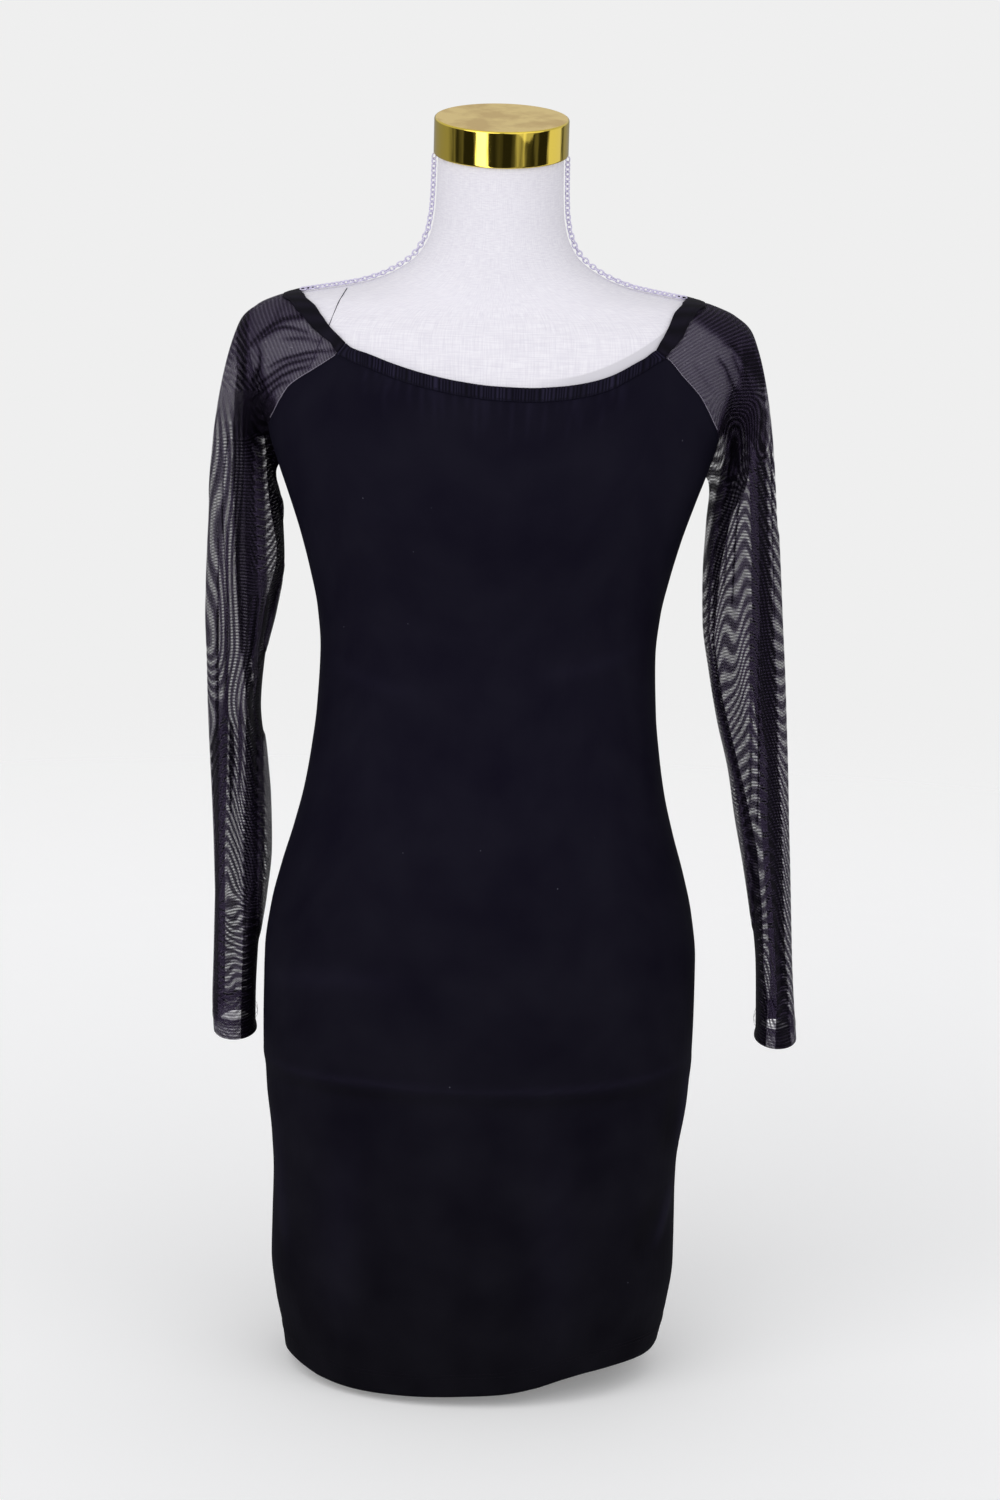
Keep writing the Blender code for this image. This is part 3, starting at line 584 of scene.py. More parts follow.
chain_tree, group = node_tree(
    "Chain braid",
    {"Pitch": LINK_PITCH, "Length": LINK_LENGTH, "Width": LINK_WIDTH, "Thread": LINK_THREAD,
     "Material": None},
)
stations, along = stations_along(chain_tree, group)
ring = add_node(chain_tree, "GeometryNodeCurvePrimitiveCircle", {"Resolution": 16, "Radius": 0.5})
size = add_node(
    chain_tree, "ShaderNodeCombineXYZ", {0: group["Width"], 1: group["Length"], 2: 1.0}
)
oval = add_node(
    chain_tree, "GeometryNodeTransform", {"Geometry": ring.outputs[0], "Scale": size.outputs[0]}
)
thread = add_node(
    chain_tree, "GeometryNodeCurvePrimitiveCircle", {"Resolution": 6, "Radius": group["Thread"]}
)
link = add_node(
    chain_tree, "GeometryNodeCurveToMesh",
    {"Curve": oval.outputs[0], "Profile Curve": thread.outputs[0]},
)
# Every second link is rolled the other way, as the loops of a braid lie
count = add_node(chain_tree, "GeometryNodeInputIndex")
parity = add_node(
    chain_tree, "ShaderNodeMath", {0: count.outputs[0], 1: 2.0}, operation="MODULO"
)
roll = add_node(
    chain_tree, "ShaderNodeMapRange", {"Value": parity.outputs[0], 3: -LINK_ROLL, 4: LINK_ROLL}
)
roll_way = add_node(chain_tree, "ShaderNodeCombineXYZ", {1: roll.outputs[0]})
turn = add_node(
    chain_tree, "FunctionNodeRotateRotation",
    {"Rotation": along, "Rotate By": roll_way.outputs[0]}, rotation_space="LOCAL",
)
links = add_node(
    chain_tree, "GeometryNodeInstanceOnPoints",
    {"Points": stations, "Instance": link.outputs[0], "Rotation": turn.outputs[0]},
)
finish_tree(chain_tree, group, links.outputs[0])

rows = np.array(PIPING_ROWS)
clear = np.full(len(rows), PIPING_RADIUS + PIPING_GAP)
for side, angle in (("left", 180.0), ("right", 0.0)):
    route = on_skin(np.full(len(rows), angle), rows, clear)
    piece = grown(f"braided_piping_{side}", [route], chain_tree, {"Material": braid})
    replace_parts(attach(piece, "root"), f"form_piping_{side}")

# Jersey panels
# The front and back of the dress: straight panels of black-navy cotton jersey, joined at the
# sides, smooth over the form, loose below its rim, with a 20 mm hem turned up and sewn.
CLOTH_GAP, SHOULDER_GAP = 0.8 * MM, 2.0 * MM
SHOULDER_GAP_FROM, SHOULDER_GAP_TO = 0.690, 0.735
STEEP_SEAM_GAP, UNDERARM_SEAM_GAP, UNDERARM_SEAM_TO = 0.2 * MM, 0.6 * MM, 38.0
CASING_DEPTH, BAND_END, CASING_TAPER = 10.2 * MM, 6.4 * MM, 5.0
UNDER_CASING = 0.3 * MM
# How far the panel goes up under its casing, and the heights over which it sinks in there
CASING_TUCK, TUCK_FROM, TUCK_TO = 3 * MM, -3 * MM, 2 * MM
HEM_TURN, HEM_STEP = 20 * MM, 0.4 * MM
# The hem's height by the angle round the body. It dips at the front and on the left.
HEM_LINE = (
    (0, 0.0260), (10, 0.0262), (20, 0.0250), (40, 0.0262), (52, 0.0250), (60, 0.0222),
    (70, 0.0160), (80, 0.0118), (90, 0.0102), (110, 0.0072), (125, 0.0062), (140, 0.0080),
    (150, 0.0108), (160, 0.0126), (170, 0.0122), (180, 0.0110), (210, 0.0100), (270, 0.0170),
    (320, 0.0230), (360, 0.0260),
)
CORNER, CENTRE = 51.3, 90.0
RAGLAN_SEAM = (
    (0.0, 0.735), (8.0, 0.757), (17.0, 0.7735), (28.6, 0.7887), (34.3, 0.7998), (37.9, 0.8085),
    (43.1, 0.8199), (48.0, 0.8310), (CORNER, 0.8377),
)
FRONT_NECK_EDGE = (
    (CORNER, 0.8441), (54.0, 0.8415), (57.0, 0.8366), (60.0, 0.8312), (63.0, 0.8264),
    (66.0, 0.8230), (70.0, 0.8200), (75.0, 0.8177), (82.0, 0.8163), (CENTRE, 0.8169),
    (98.0, 0.8196), (106.0, 0.8242), (113.0, 0.8295), (121.0, 0.8367), (180 - CORNER, 0.8441),
)
BACK_NECK_EDGE = (
    (CORNER, 0.8441), (62.0, 0.8400), (75.0, 0.8370), (CENTRE, 0.8360), (105.0, 0.8370),
    (118.0, 0.8400), (180 - CORNER, 0.8441),
)
JERSEY_WALL = 0.9 * MM
PANEL_COLUMNS, PANEL_ROWS = 190, 210
# How deep a fold may go over the form, in shares of the gap under the cloth, and in the skirt.
# Folds fade out over the last degrees before a side seam.
DEEPEST_ON_FORM, DEEPEST_IN_SKIRT, SIDE_FADE = 0.6, 3 * MM, 3.0
JERSEY_NAVY, JERSEY_HEM_SHADE, JERSEY_LIT, LINT = "#0b0816", "#020104", "#272338", "#6a6a78"
JERSEY_PAINTED_SHADE, JERSEY_SHEEN = "#020103", "#8f8fc8"


def read_pairs(pairs, at):
    """A table of two columns, such as an edge's height by its angle."""
    return curve_through([row[0] for row in pairs], [row[1] for row in pairs], at)


def smooth_step(low, high, value):
    """0 at the first value, 1 at the second, and a soft step between them."""
    s = np.clip((value - low) / (high - low), 0, 1)
    return s * s * (3 - 2 * s)


def casing_depth(from_side):
    """How deep the neck casing is. It narrows to the band's own width at the corners."""
    full = smooth_step(CORNER, CORNER + CASING_TAPER, from_side)
    return BAND_END + (CASING_DEPTH - BAND_END) * full


def cloth_gap(height):
    """The gap between the form and the panels, which widens under the sleeves' seams."""
    share = np.clip((height - SHOULDER_GAP_FROM) / (SHOULDER_GAP_TO - SHOULDER_GAP_FROM), 0, 1)
    return CLOTH_GAP + (SHOULDER_GAP - CLOTH_GAP) * share


def away_from_line(points, line):
    """Each point's distance in x and z from a line of (x, z), and its share of the way along."""
    spots = np.asarray(points)[..., (0, 2)]
    best = np.full(spots.shape[:-1], np.inf)
    along = np.zeros(spots.shape[:-1])
    for i, (a, b) in enumerate(zip(line, line[1:])):
        a, way = np.array(a), np.array(b) - np.array(a)
        t = np.clip(((spots - a) @ way) / (way @ way), 0, 1)
        gap = np.linalg.norm(spots - a - t[..., None] * way, axis=-1)
        along = np.where(gap < best, (i + t) / (len(line) - 1), along)
        best = np.minimum(gap, best)
    return best, along


def bent(start, middle, end, steps=10):
    """A smooth bent line in x and z, pulled towards its middle point."""
    start, middle, end = (np.array(p, float) for p in (start, middle, end))
    return [
        (1 - t) ** 2 * start + 2 * t * (1 - t) * middle + t * t * end
        for t in np.linspace(0, 1, steps)
    ]


# Cotton jersey: nearly black navy, matt, with faint lengthwise knit ribs and a little lint. The
# loops are 0.6 mm apart and are drawn 8 mm across and 10 mm up, so that they show at all.
WALE, COURSE, LINT_SPACING, FADED_PATCH = 8.168 * MM, 10.053 * MM, 26 * MM, 60 * MM
FULL_LIGHT_FROM = 0.50
jersey, tree, shader = new_material(
    "Cotton jersey",
    {"Roughness": 0.80, "Specular IOR Level": 0.025, "Sheen Weight": 0.01, "Sheen Roughness": 0.4,
     "Sheen Tint": linear(JERSEY_SHEEN)},
)
uv = add_node(tree, "ShaderNodeUVMap", uv_map="cloth").outputs[0]
wales, courses = (
    add_node(
        tree, "ShaderNodeTexWave",
        {"Vector": uv, "Scale": band_scale(pitch), "Distortion": uneven, "Detail": 1.0,
         "Detail Scale": 2.0},
        bands_direction=way,
    ).outputs["Fac"]
    for pitch, uneven, way in ((WALE, 0.8, "X"), (COURSE, 1.2, "Y"))
)
knit = add_node(tree, "ShaderNodeMath", {0: wales, 1: courses}, operation="ADD").outputs[0]
lint = add_node(
    tree, "ShaderNodeTexVoronoi", {"Vector": uv, "Scale": 1 / LINT_SPACING, "Randomness": 1.0}
).outputs["Distance"]
speck = add_node(
    tree, "ShaderNodeMapRange", {"Value": lint, 1: 0.022, 2: 0.014, 3: 0.0, 4: 0.5}
).outputs[0]
patchy = add_node(tree, "ShaderNodeTexNoise", {"Vector": uv, "Scale": 1 / FADED_PATCH}).outputs[0]
fade = add_node(tree, "ShaderNodeMapRange", {"Value": patchy, 3: 0.0, 4: 0.05}).outputs[0]
share = add_node(tree, "ShaderNodeMath", {0: speck, 1: fade}, operation="ADD").outputs[0]
# Painted shade: the navy is drawn darker, down to black, towards the hem, where less light
# reaches. Painted highlight makes gathers and ridges paler, and painted shade makes troughs darker.
place = add_node(tree, "ShaderNodeTexCoord").outputs["Object"]
high = add_node(tree, "ShaderNodeSeparateXYZ", {0: place}).outputs["Z"]
high = add_node(tree, "ShaderNodeMapRange", {"Value": high, 1: 0.0, 2: FULL_LIGHT_FROM}).outputs[0]
ground = add_node(
    tree, "ShaderNodeMix", {0: high, 6: linear(JERSEY_HEM_SHADE), 7: linear(JERSEY_NAVY)},
    data_type="RGBA",
).outputs[2]
painted_fold_light = add_node(tree, "ShaderNodeAttribute", attribute_name="painted_fold_light").outputs["Fac"]
lit = add_node(
    tree, "ShaderNodeMix", {0: painted_fold_light, 6: ground, 7: linear(JERSEY_LIT)}, data_type="RGBA"
).outputs[2]
dark = add_node(tree, "ShaderNodeMapRange", {"Value": painted_fold_light, 1: 0.0, 2: -0.3}).outputs[0]
lit = add_node(
    tree, "ShaderNodeMix", {0: dark, 6: lit, 7: linear(JERSEY_PAINTED_SHADE)}, data_type="RGBA"
).outputs[2]
colour = add_node(tree, "ShaderNodeMix", {0: share, 6: lit, 7: linear(LINT)}, data_type="RGBA")
bump = add_node(tree, "ShaderNodeBump", {"Height": knit, "Strength": 0.25, "Distance": 0.15 * MM})
tree.links.new(colour.outputs[2], shader.inputs["Base Color"])
tree.links.new(bump.outputs[0], shader.inputs["Normal"])

# The form's rim shows through the skirt as a soft step, and the loose side folds below it. A
# fold is a bent line of (x, z), with the height of its ridge (minus for a trough) and its width.
PANEL_FOLDS = (
    (((-0.169, 0.262), (-0.090, 0.267), (-0.010, 0.263)), 0.9 * MM, 3.0 * MM),
    (((-0.020, 0.263), (0.090, 0.262), (0.166, 0.271)), 0.9 * MM, 3.0 * MM),
    (((-0.169, 0.252), (-0.090, 0.257), (-0.010, 0.254)), -1.0 * MM, 5.0 * MM),
    (((-0.020, 0.254), (0.090, 0.252), (0.164, 0.259)), -1.0 * MM, 5.0 * MM),
    (((0.169, 0.262), (0.165, 0.225), (0.162, 0.191)), 1.6 * MM, 4.0 * MM),
    (((0.158, 0.250), (0.154, 0.220), (0.152, 0.195)), -1.2 * MM, 6.0 * MM),
    (((0.158, 0.168), (0.153, 0.142), (0.146, 0.122)), 1.5 * MM, 4.0 * MM),
    (((0.147, 0.165), (0.140, 0.140), (0.130, 0.118)), -1.2 * MM, 8.0 * MM),
    (((-0.160, 0.215), (-0.156, 0.160), (-0.149, 0.110)), 1.0 * MM, 5.0 * MM),
    (((-0.100, 0.215), (-0.110, 0.140), (-0.104, 0.060)), 0.5 * MM, 16.0 * MM),
    (((0.060, 0.215), (0.070, 0.120), (0.064, 0.050)), 0.4 * MM, 18.0 * MM),
    (((-0.165, 0.330), (-0.120, 0.352), (-0.060, 0.346)), 0.6 * MM, 8.0 * MM),
    (((-0.120, 0.590), (-0.090, 0.577), (-0.050, 0.574)), 0.5 * MM, 6.0 * MM),
    (((0.120, 0.610), (0.085, 0.596), (0.040, 0.592)), 0.5 * MM, 6.0 * MM),
)
# Short creases that the elastic draws in the jersey below the neck, by x, depth and length.
# Sines make them uneven, and they spread out a little on the way down.
CREASE_COUNT, CREASE_STEP, CREASE_WIDTH, CREASE_SPREAD = 35, 5.8 * MM, 1.3 * MM, 0.1
NECK_CREASES = [
    ((i - CREASE_COUNT // 2) * CREASE_STEP + 4 * MM * math.sin(7.3 * i),
     (0.25 + 0.2 * math.sin(2.1 * i)) * MM, (22 + 12 * math.sin(3.7 * i)) * MM)
    for i in range(CREASE_COUNT)
]
# How much painted highlight the jersey gets on a ridge 1 mm high (painted shade in a trough as
# deep), and in a crease below the neck
FOLD_LIT, CREASE_LIT = 0.15, 0.22
panel_grids = {}


def panel(name, start, neck_edge, replaced):
    """A panel from the hem to the raglan seams and the neck casing, as a thin shell."""
    from_right = np.linspace(0, 180, PANEL_COLUMNS)
    from_side = np.minimum(from_right, 180 - from_right)
    across_neck = np.clip(from_right, CORNER, 180 - CORNER)
    slack = np.clip(1 - (from_side - UNDERARM_SEAM_TO) / (CORNER - UNDERARM_SEAM_TO), 0, 1)
    gap = STEEP_SEAM_GAP + (UNDERARM_SEAM_GAP - STEEP_SEAM_GAP) * slack
    top = np.where(
        from_side <= CORNER,
        read_pairs(RAGLAN_SEAM, from_side) - gap,
        read_pairs(neck_edge, across_neck) - casing_depth(from_side) + CASING_TUCK,
    )
    angle = start + from_right
    hem = read_pairs(HEM_LINE, angle)
    share = np.linspace(0, 1, PANEL_ROWS)[:, None]
    height = hem + (top - hem) * share
    in_hem = height < hem + HEM_TURN
    clear = cloth_gap(height) + np.where(in_hem, HEM_STEP, 0)
    # The upper edge goes in under the neck casing
    tuck = smooth_step(TUCK_FROM, TUCK_TO, height - top + CASING_TUCK) * (from_side > CORNER)
    clear = clear + (UNDER_CASING - clear) * tuck
    grid = on_skin(angle[None], height, clear)
    way = skin_normal(np.broadcast_to(angle, height.shape), height)
    # Each fold moves the cloth and gives it a painted highlight on its ridge and painted shade in
    # its trough; the creases below the neck get a painted highlight
    lift, painted_light = np.zeros(height.shape), np.zeros(height.shape)
    mirror = 1 if start == 0 else -1
    for line, rise, width in PANEL_FOLDS:
        points = bent(*[(x * mirror, z) for x, z in line])
        gap, along = away_from_line(grid, points)
        fold = np.exp(-((gap / width) ** 2)) * np.sin(math.pi * np.clip(along, 0.03, 0.97)) ** 0.5
        lift += rise * fold
        painted_light += FOLD_LIT * rise / MM * fold
    neck = read_pairs(neck_edge, across_neck) - CASING_DEPTH
    below = neck - height
    for x, depth, length in NECK_CREASES:
        away = grid[..., 0] - x - CREASE_SPREAD * x * below
        fall = np.exp(-((away / CREASE_WIDTH) ** 2))
        fall = fall * np.clip(1 - below / length, 0, 1) * (from_side > CORNER)
        lift -= depth * fall
        painted_light += CREASE_LIT * fall
    ends = np.clip(from_side / SIDE_FADE, 0, 1)
    deepest = np.where(height > RIM_HEIGHT, DEEPEST_ON_FORM * CLOTH_GAP, DEEPEST_IN_SKIRT)
    grid = grid + (np.maximum(lift, -deepest) * ends)[..., None] * way
    # The side seams, where the two panels meet
    grid[:, (0, -1), 1] = -mirror * SEAM_GAP / 2
    panel_grids[name] = grid, way, hem, top
    made = cloth_mesh(
        name, grid[:, ::-1], cloth_uv(grid), False, jersey,
        attributes={"painted_fold_light": painted_light[:, ::-1]},
    )
    wall = made.modifiers.new("Cloth", "SOLIDIFY")
    wall.thickness, wall.offset = JERSEY_WALL, 1.0
    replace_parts(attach(made, "root"), replaced)
    return made


panel("jersey_front", 0, FRONT_NECK_EDGE, "front_panel")
panel("jersey_back", 180, BACK_NECK_EDGE, "back_panel")

# Neck casings
# The neck edge of each panel, turned over a 10 mm elastic and sewn down. The elastic draws it
# into fine upright gathers.
CASING_WALL, GATHER_HEIGHT, EDGE_GAP, CASING_END = 1.5 * MM, 1.0 * MM, 1.3 * MM, 0.25
FRONT_GATHERS, BACK_GATHERS, STEPS_PER_GATHER = 92, 80, 6
# How much painted highlight a gather's crest gets, and how much painted shade the dip between two
GATHER_LIT, GATHER_PAINTED_SHADE = 1.0, 0.22
# The sewn line's place, as a share of the way down the casing
CASING_SEAM = 0.88
# Each point of the section: how far down from the top, how far out, and its share of gather
CASING_SECTION = (
    (1.00, 0.15, 0.0), (1.00, 0.75, 0.2), (0.94, 0.98, 0.6), (0.80, 1.00, 1.0),
    (0.60, 1.00, 1.0), (0.40, 1.00, 1.0), (0.20, 0.98, 1.0), (0.07, 0.85, 0.8),
    (0.00, 0.50, 0.4), (0.04, 0.10, 0.1), (0.20, 0.00, 0.0), (0.60, 0.00, 0.0),
)
neck_seams = []


def neck_casing(name, start, neck_edge, gathers, replaced):
    """A closed strip with a round top edge, whose outside rises in uneven gathers."""
    across = gathers * STEPS_PER_GATHER
    corner = CORNER + CASING_END
    part = np.linspace(0, 1, across + 1)
    angle = corner + (180 - 2 * corner) * part
    top = read_pairs(neck_edge, angle)
    wave = gathers * part + 0.35 * np.sin(part * 61) + 0.25 * np.sin(part * 143 + 1)
    size = 0.8 + 0.1 * np.sin(part * 37 + 2) + 0.1 * np.sin(part * 95)
    gather = GATHER_HEIGHT * size * np.abs(np.cos(math.pi * wave)) ** 0.7
    deep = casing_depth(np.minimum(angle, 180 - angle))
    loops, lit = [], []
    for down, out, share in CASING_SECTION:
        clear = EDGE_GAP + CASING_WALL * out + gather * share
        loops.append(on_skin(start + angle, top - deep * down, clear))
        # Painted highlight on each gather's crest, and painted shade in the dips between them
        lit.append((GATHER_LIT * (gather / GATHER_HEIGHT) ** 2 - GATHER_PAINTED_SHADE) * share)
    grid = np.stack(loops, 1)
    made = cloth_mesh(
        name, grid, cloth_uv(grid, True), True, jersey, caps=True,
        attributes={"painted_fold_light": np.stack(lit, 1)},
    )
    seam = on_skin(start + angle, top - deep * CASING_SEAM, EDGE_GAP + CASING_WALL + 0.9 * gather)
    neck_seams.append(seam)
    facing_out(made)
    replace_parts(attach(made, "root"), replaced)
    return made


for name, start, neck_edge, gathers, replaced, flat in (
    ("neck_casing_front", 0, FRONT_NECK_EDGE, FRONT_GATHERS, "front_neck_casing", (0.330, 0.0115)),
    ("neck_casing_back", 180, BACK_NECK_EDGE, BACK_GATHERS, "back_neck_casing", (0.310, 0.0115)),
):
    neck_casing(name, start, neck_edge, gathers, replaced)

# Shoulder bands
# The neck edge of each sleeve: the mesh folded into a band of four layers, 15 mm wide, and
# sewn along its outer edge, from the front corner of the neck over the shoulder to the back.
BAND_WALL, BAND_SEAM_GAP = 1.6 * MM, 1.2 * MM
BAND_OUTER = (
    (0.0, 0.8699), (20.0, 0.8686), (36.8, 0.8620), (42.4, 0.8556), (45.2, 0.8498),
    (47.2, 0.8441), (49.4, 0.8398), (CORNER, 0.8377),
)
NECK_EDGE_SHOULDER = (
    (0.0, 0.8738), (15.0, 0.8734), (25.0, 0.8720), (35.0, 0.8692), (44.5, 0.8624),
    (48.6, 0.8558), (50.2, 0.8506), (CORNER, 0.8441),
)
BAND_COLUMNS = 120
# The sewn line's place, up from the band's outer edge, and its share of the wall's thickness
BAND_SEAM_UP, BAND_SEAM_OUT = 0.9 * MM, 0.98
FOLDED_BLACK, FOLDED_VIOLET = "#0d0b13", "#4a4160"


def raised(angle, height, along):
    """The height that lies this far up the skin, measured along it."""
    up = skin(angle, height + MM) - skin(angle, height)
    return height + along * up[..., 2] / np.linalg.norm(up, axis=-1)


# Folded stretch mesh: four layers pressed together let almost nothing through, so the band is
# a soft black with the mesh's slanted ribs just showing. They are 1 mm apart, and drawn 12 mm.
FOLDED_RIB = 12.44 * MM
folded_net, tree, shader = new_material(
    "Folded stretch mesh",
    {"Roughness": 0.7, "Specular IOR Level": 0.06},
)
uv = add_node(tree, "ShaderNodeUVMap", uv_map="cloth").outputs[0]
ribs = add_node(
    tree, "ShaderNodeTexWave",
    {"Vector": uv, "Scale": math.sqrt(2) * band_scale(FOLDED_RIB), "Distortion": 1.0,
     "Detail Scale": 1.0},
    bands_direction="DIAGONAL",
).outputs["Fac"]
share = add_node(tree, "ShaderNodeMapRange", {"Value": ribs, 3: 0.0, 4: 0.06}).outputs[0]
colour = add_node(
    tree, "ShaderNodeMix", {0: share, 6: linear(FOLDED_BLACK), 7: linear(FOLDED_VIOLET)},
    data_type="RGBA",
)
bump = add_node(tree, "ShaderNodeBump", {"Height": ribs, "Strength": 0.3, "Distance": 0.15 * MM})
tree.links.new(colour.outputs[2], shader.inputs["Base Color"])
tree.links.new(bump.outputs[0], shader.inputs["Normal"])

# Each point of the band's section: its share of the way up, and of the wall's thickness out
BAND_SECTION = (
    (0.00, 0.25), (0.00, 0.70), (0.04, 0.95), (0.16, 0.86), (0.30, 0.96), (0.55, 1.00),
    (0.80, 0.98), (0.93, 0.85), (1.00, 0.50), (0.95, 0.12), (0.70, 0.0), (0.30, 0.0),
)
for side, sign in (("left", -1), ("right", 1)):
    angle = np.linspace(CORNER, -CORNER, BAND_COLUMNS)
    low = raised(np.abs(angle), read_pairs(BAND_OUTER, np.abs(angle)), BAND_SEAM_GAP)
    high = read_pairs(NECK_EDGE_SHOULDER, np.abs(angle))
    turn = angle if sign > 0 else 180 - angle
    grid = np.stack([
        on_skin(turn, low + (high - low) * up, np.full(BAND_COLUMNS, EDGE_GAP + BAND_WALL * out))
        for up, out in BAND_SECTION
    ], 1)
    clear = np.full(BAND_COLUMNS, EDGE_GAP + BAND_SEAM_OUT * BAND_WALL)
    neck_seams.append(on_skin(turn, low + BAND_SEAM_UP, clear))
    band = cloth_mesh(
        f"mesh_band_{side}", grid, cloth_uv(grid, True), True, folded_net, caps=True
    )
    facing_out(band)
    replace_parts(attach(band, "root"), f"shoulder_band_{side}")

# Sleeves
# Two raglan sleeves of very fine ribbed stretch mesh, sewn to the panels and the bands. They
# lie on the shoulders, then hang empty and flattened in long folds, with the hem turned inside.
NET_WALL = 0.4 * MM
SLEEVE_COLUMNS = ("height", "outer", "inner", "centre", "half_depth")
SLEEVES = {
    "left": np.array((
        (0.272, 0.2150, 0.1785, 0.012, 0.0350),
        (0.300, 0.2165, 0.1787, 0.014, 0.0365),
        (0.340, 0.2161, 0.1775, 0.018, 0.0390),
        (0.380, 0.2160, 0.1725, 0.020, 0.0420),
        (0.420, 0.2172, 0.1690, 0.020, 0.0450),
        (0.460, 0.2188, 0.1700, 0.017, 0.0480),
        (0.500, 0.2208, 0.1735, 0.013, 0.0505),
        (0.540, 0.2226, 0.1778, 0.009, 0.0530),
        (0.580, 0.2238, 0.1750, 0.006, 0.0550),
        (0.620, 0.2254, 0.1668, 0.004, 0.0570),
        (0.660, 0.2248, 0.1605, 0.002, 0.0580),
        (0.700, 0.2232, 0.1625, 0.000, 0.0580),
    )),
    "right": np.array((
        (0.272, 0.2588, 0.2225, 0.004, 0.0350),
        (0.300, 0.2558, 0.2217, 0.004, 0.0365),
        (0.340, 0.2523, 0.2200, 0.004, 0.0390),
        (0.380, 0.2498, 0.2150, 0.004, 0.0420),
        (0.420, 0.2474, 0.2080, 0.004, 0.0450),
        (0.460, 0.2448, 0.1997, 0.004, 0.0480),
        (0.500, 0.2425, 0.1927, 0.004, 0.0505),
        (0.540, 0.2397, 0.1825, 0.003, 0.0530),
        (0.580, 0.2368, 0.1745, 0.002, 0.0550),
        (0.620, 0.2334, 0.1682, 0.001, 0.0570),
        (0.660, 0.2302, 0.1669, 0.000, 0.0580),
        (0.700, 0.2268, 0.1682, 0.000, 0.0580),
    )),
}
SHOULDER_LINE = (
    (0.700, 0.2250), (0.728, 0.2222), (0.760, 0.2190), (0.792, 0.2148), (0.824, 0.2088),
    (0.842, 0.2040), (0.854, 0.1992), (0.862, 0.1930), (0.872, 0.1800),
)
CUFF_HEIGHTS = {"left": 0.272, "right": 0.279}
# How much higher the cuff is at the back, how far up that tells, and how deep its hem is
CUFF_BACK_RISE, CUFF_RISE_REACH, CUFF_HEM = 4.5 * MM, 0.100, 16 * MM
# What the outlines above hold beyond the middle of the cloth, on each side
OUTLINE_ALLOWANCE = 1.1 * MM
# Where the cloth leaves the form: the place round the sleeve's upper edge from under the arm,
# which is 7 at the neck corner and 14 on the shoulder, the angle round the body and the height
LEAVING_LINE = (
    (0.0, 0.0, 0.7380), (2.0, 11.0, 0.7830), (4.0, 18.0, 0.8060), (6.0, 21.5, 0.8260),
    (7.0, 23.0, 0.8350), (9.0, 20.0, 0.8480), (11.0, 13.0, 0.8550), (14.0, 0.0, 0.8600),
)
PANEL_CLEARANCE, YOKE_CLEARANCE, SEAM_REACH = 5.2 * MM, 2.2 * MM, 3 * MM
# The rows of the seam allowance under a panel or a band: how far past the seam, and how clear
ALLOWANCE_ROWS = ((-4.0 * MM, 0.5 * MM), (-1.5 * MM, 0.6 * MM), (1.0 * MM, 1.3 * MM))
# The yoke's first row past the seam, and how much clearer of the skin its last one is
YOKE_FIRST, YOKE_RISE = 2.0 * MM, 0.6 * MM
# The way in which the cloth leaves the shoulder, in x and z at its inner side, what its outer
# side adds, and how far it turns to the front or the back
LEAVES, LEAVES_OUTER, LEAVES_TURNED = (0.80, -0.60), (0.15, 0.15), -0.35
# How strongly the cloth holds its way where it leaves the shoulder, and where it begins to hang:
# each at the inner side, and what the outer side adds
LEAVING_PULL, HANGING_PULL, SMOOTHINGS = (0.75, 0.35), (1.1, -0.4), 10
# The largest folds, as the angle round the sleeve, depth, spread, top and bottom
TROUGHS = {
    "left": (
        (92.0, 0.0150, 22.0, 0.725, 0.30), (30.0, 0.0080, 18.0, 0.700, 0.42),
        (215.0, 0.0090, 24.0, 0.740, 0.34), (300.0, 0.0100, 22.0, 0.720, 0.30),
    ),
    "right": (
        (120.0, 0.0120, 22.0, 0.725, 0.28), (58.0, 0.0070, 18.0, 0.680, 0.40),
        (232.0, 0.0100, 24.0, 0.740, 0.30), (310.0, 0.0080, 20.0, 0.720, 0.36),
    ),
}
FOLD_FADE, FOLD_NARROWING = 0.05, 0.6
LOOP, CORNER_PLACE, FRONT_COLUMNS, BACK_COLUMNS = 28, 7, 152, 76
YOKE_ROWS, DROP_ROWS, TUBE_ROWS, HEM_ROWS = 42, 46, 100, 5
HEM_INSET = 1.1 * MM
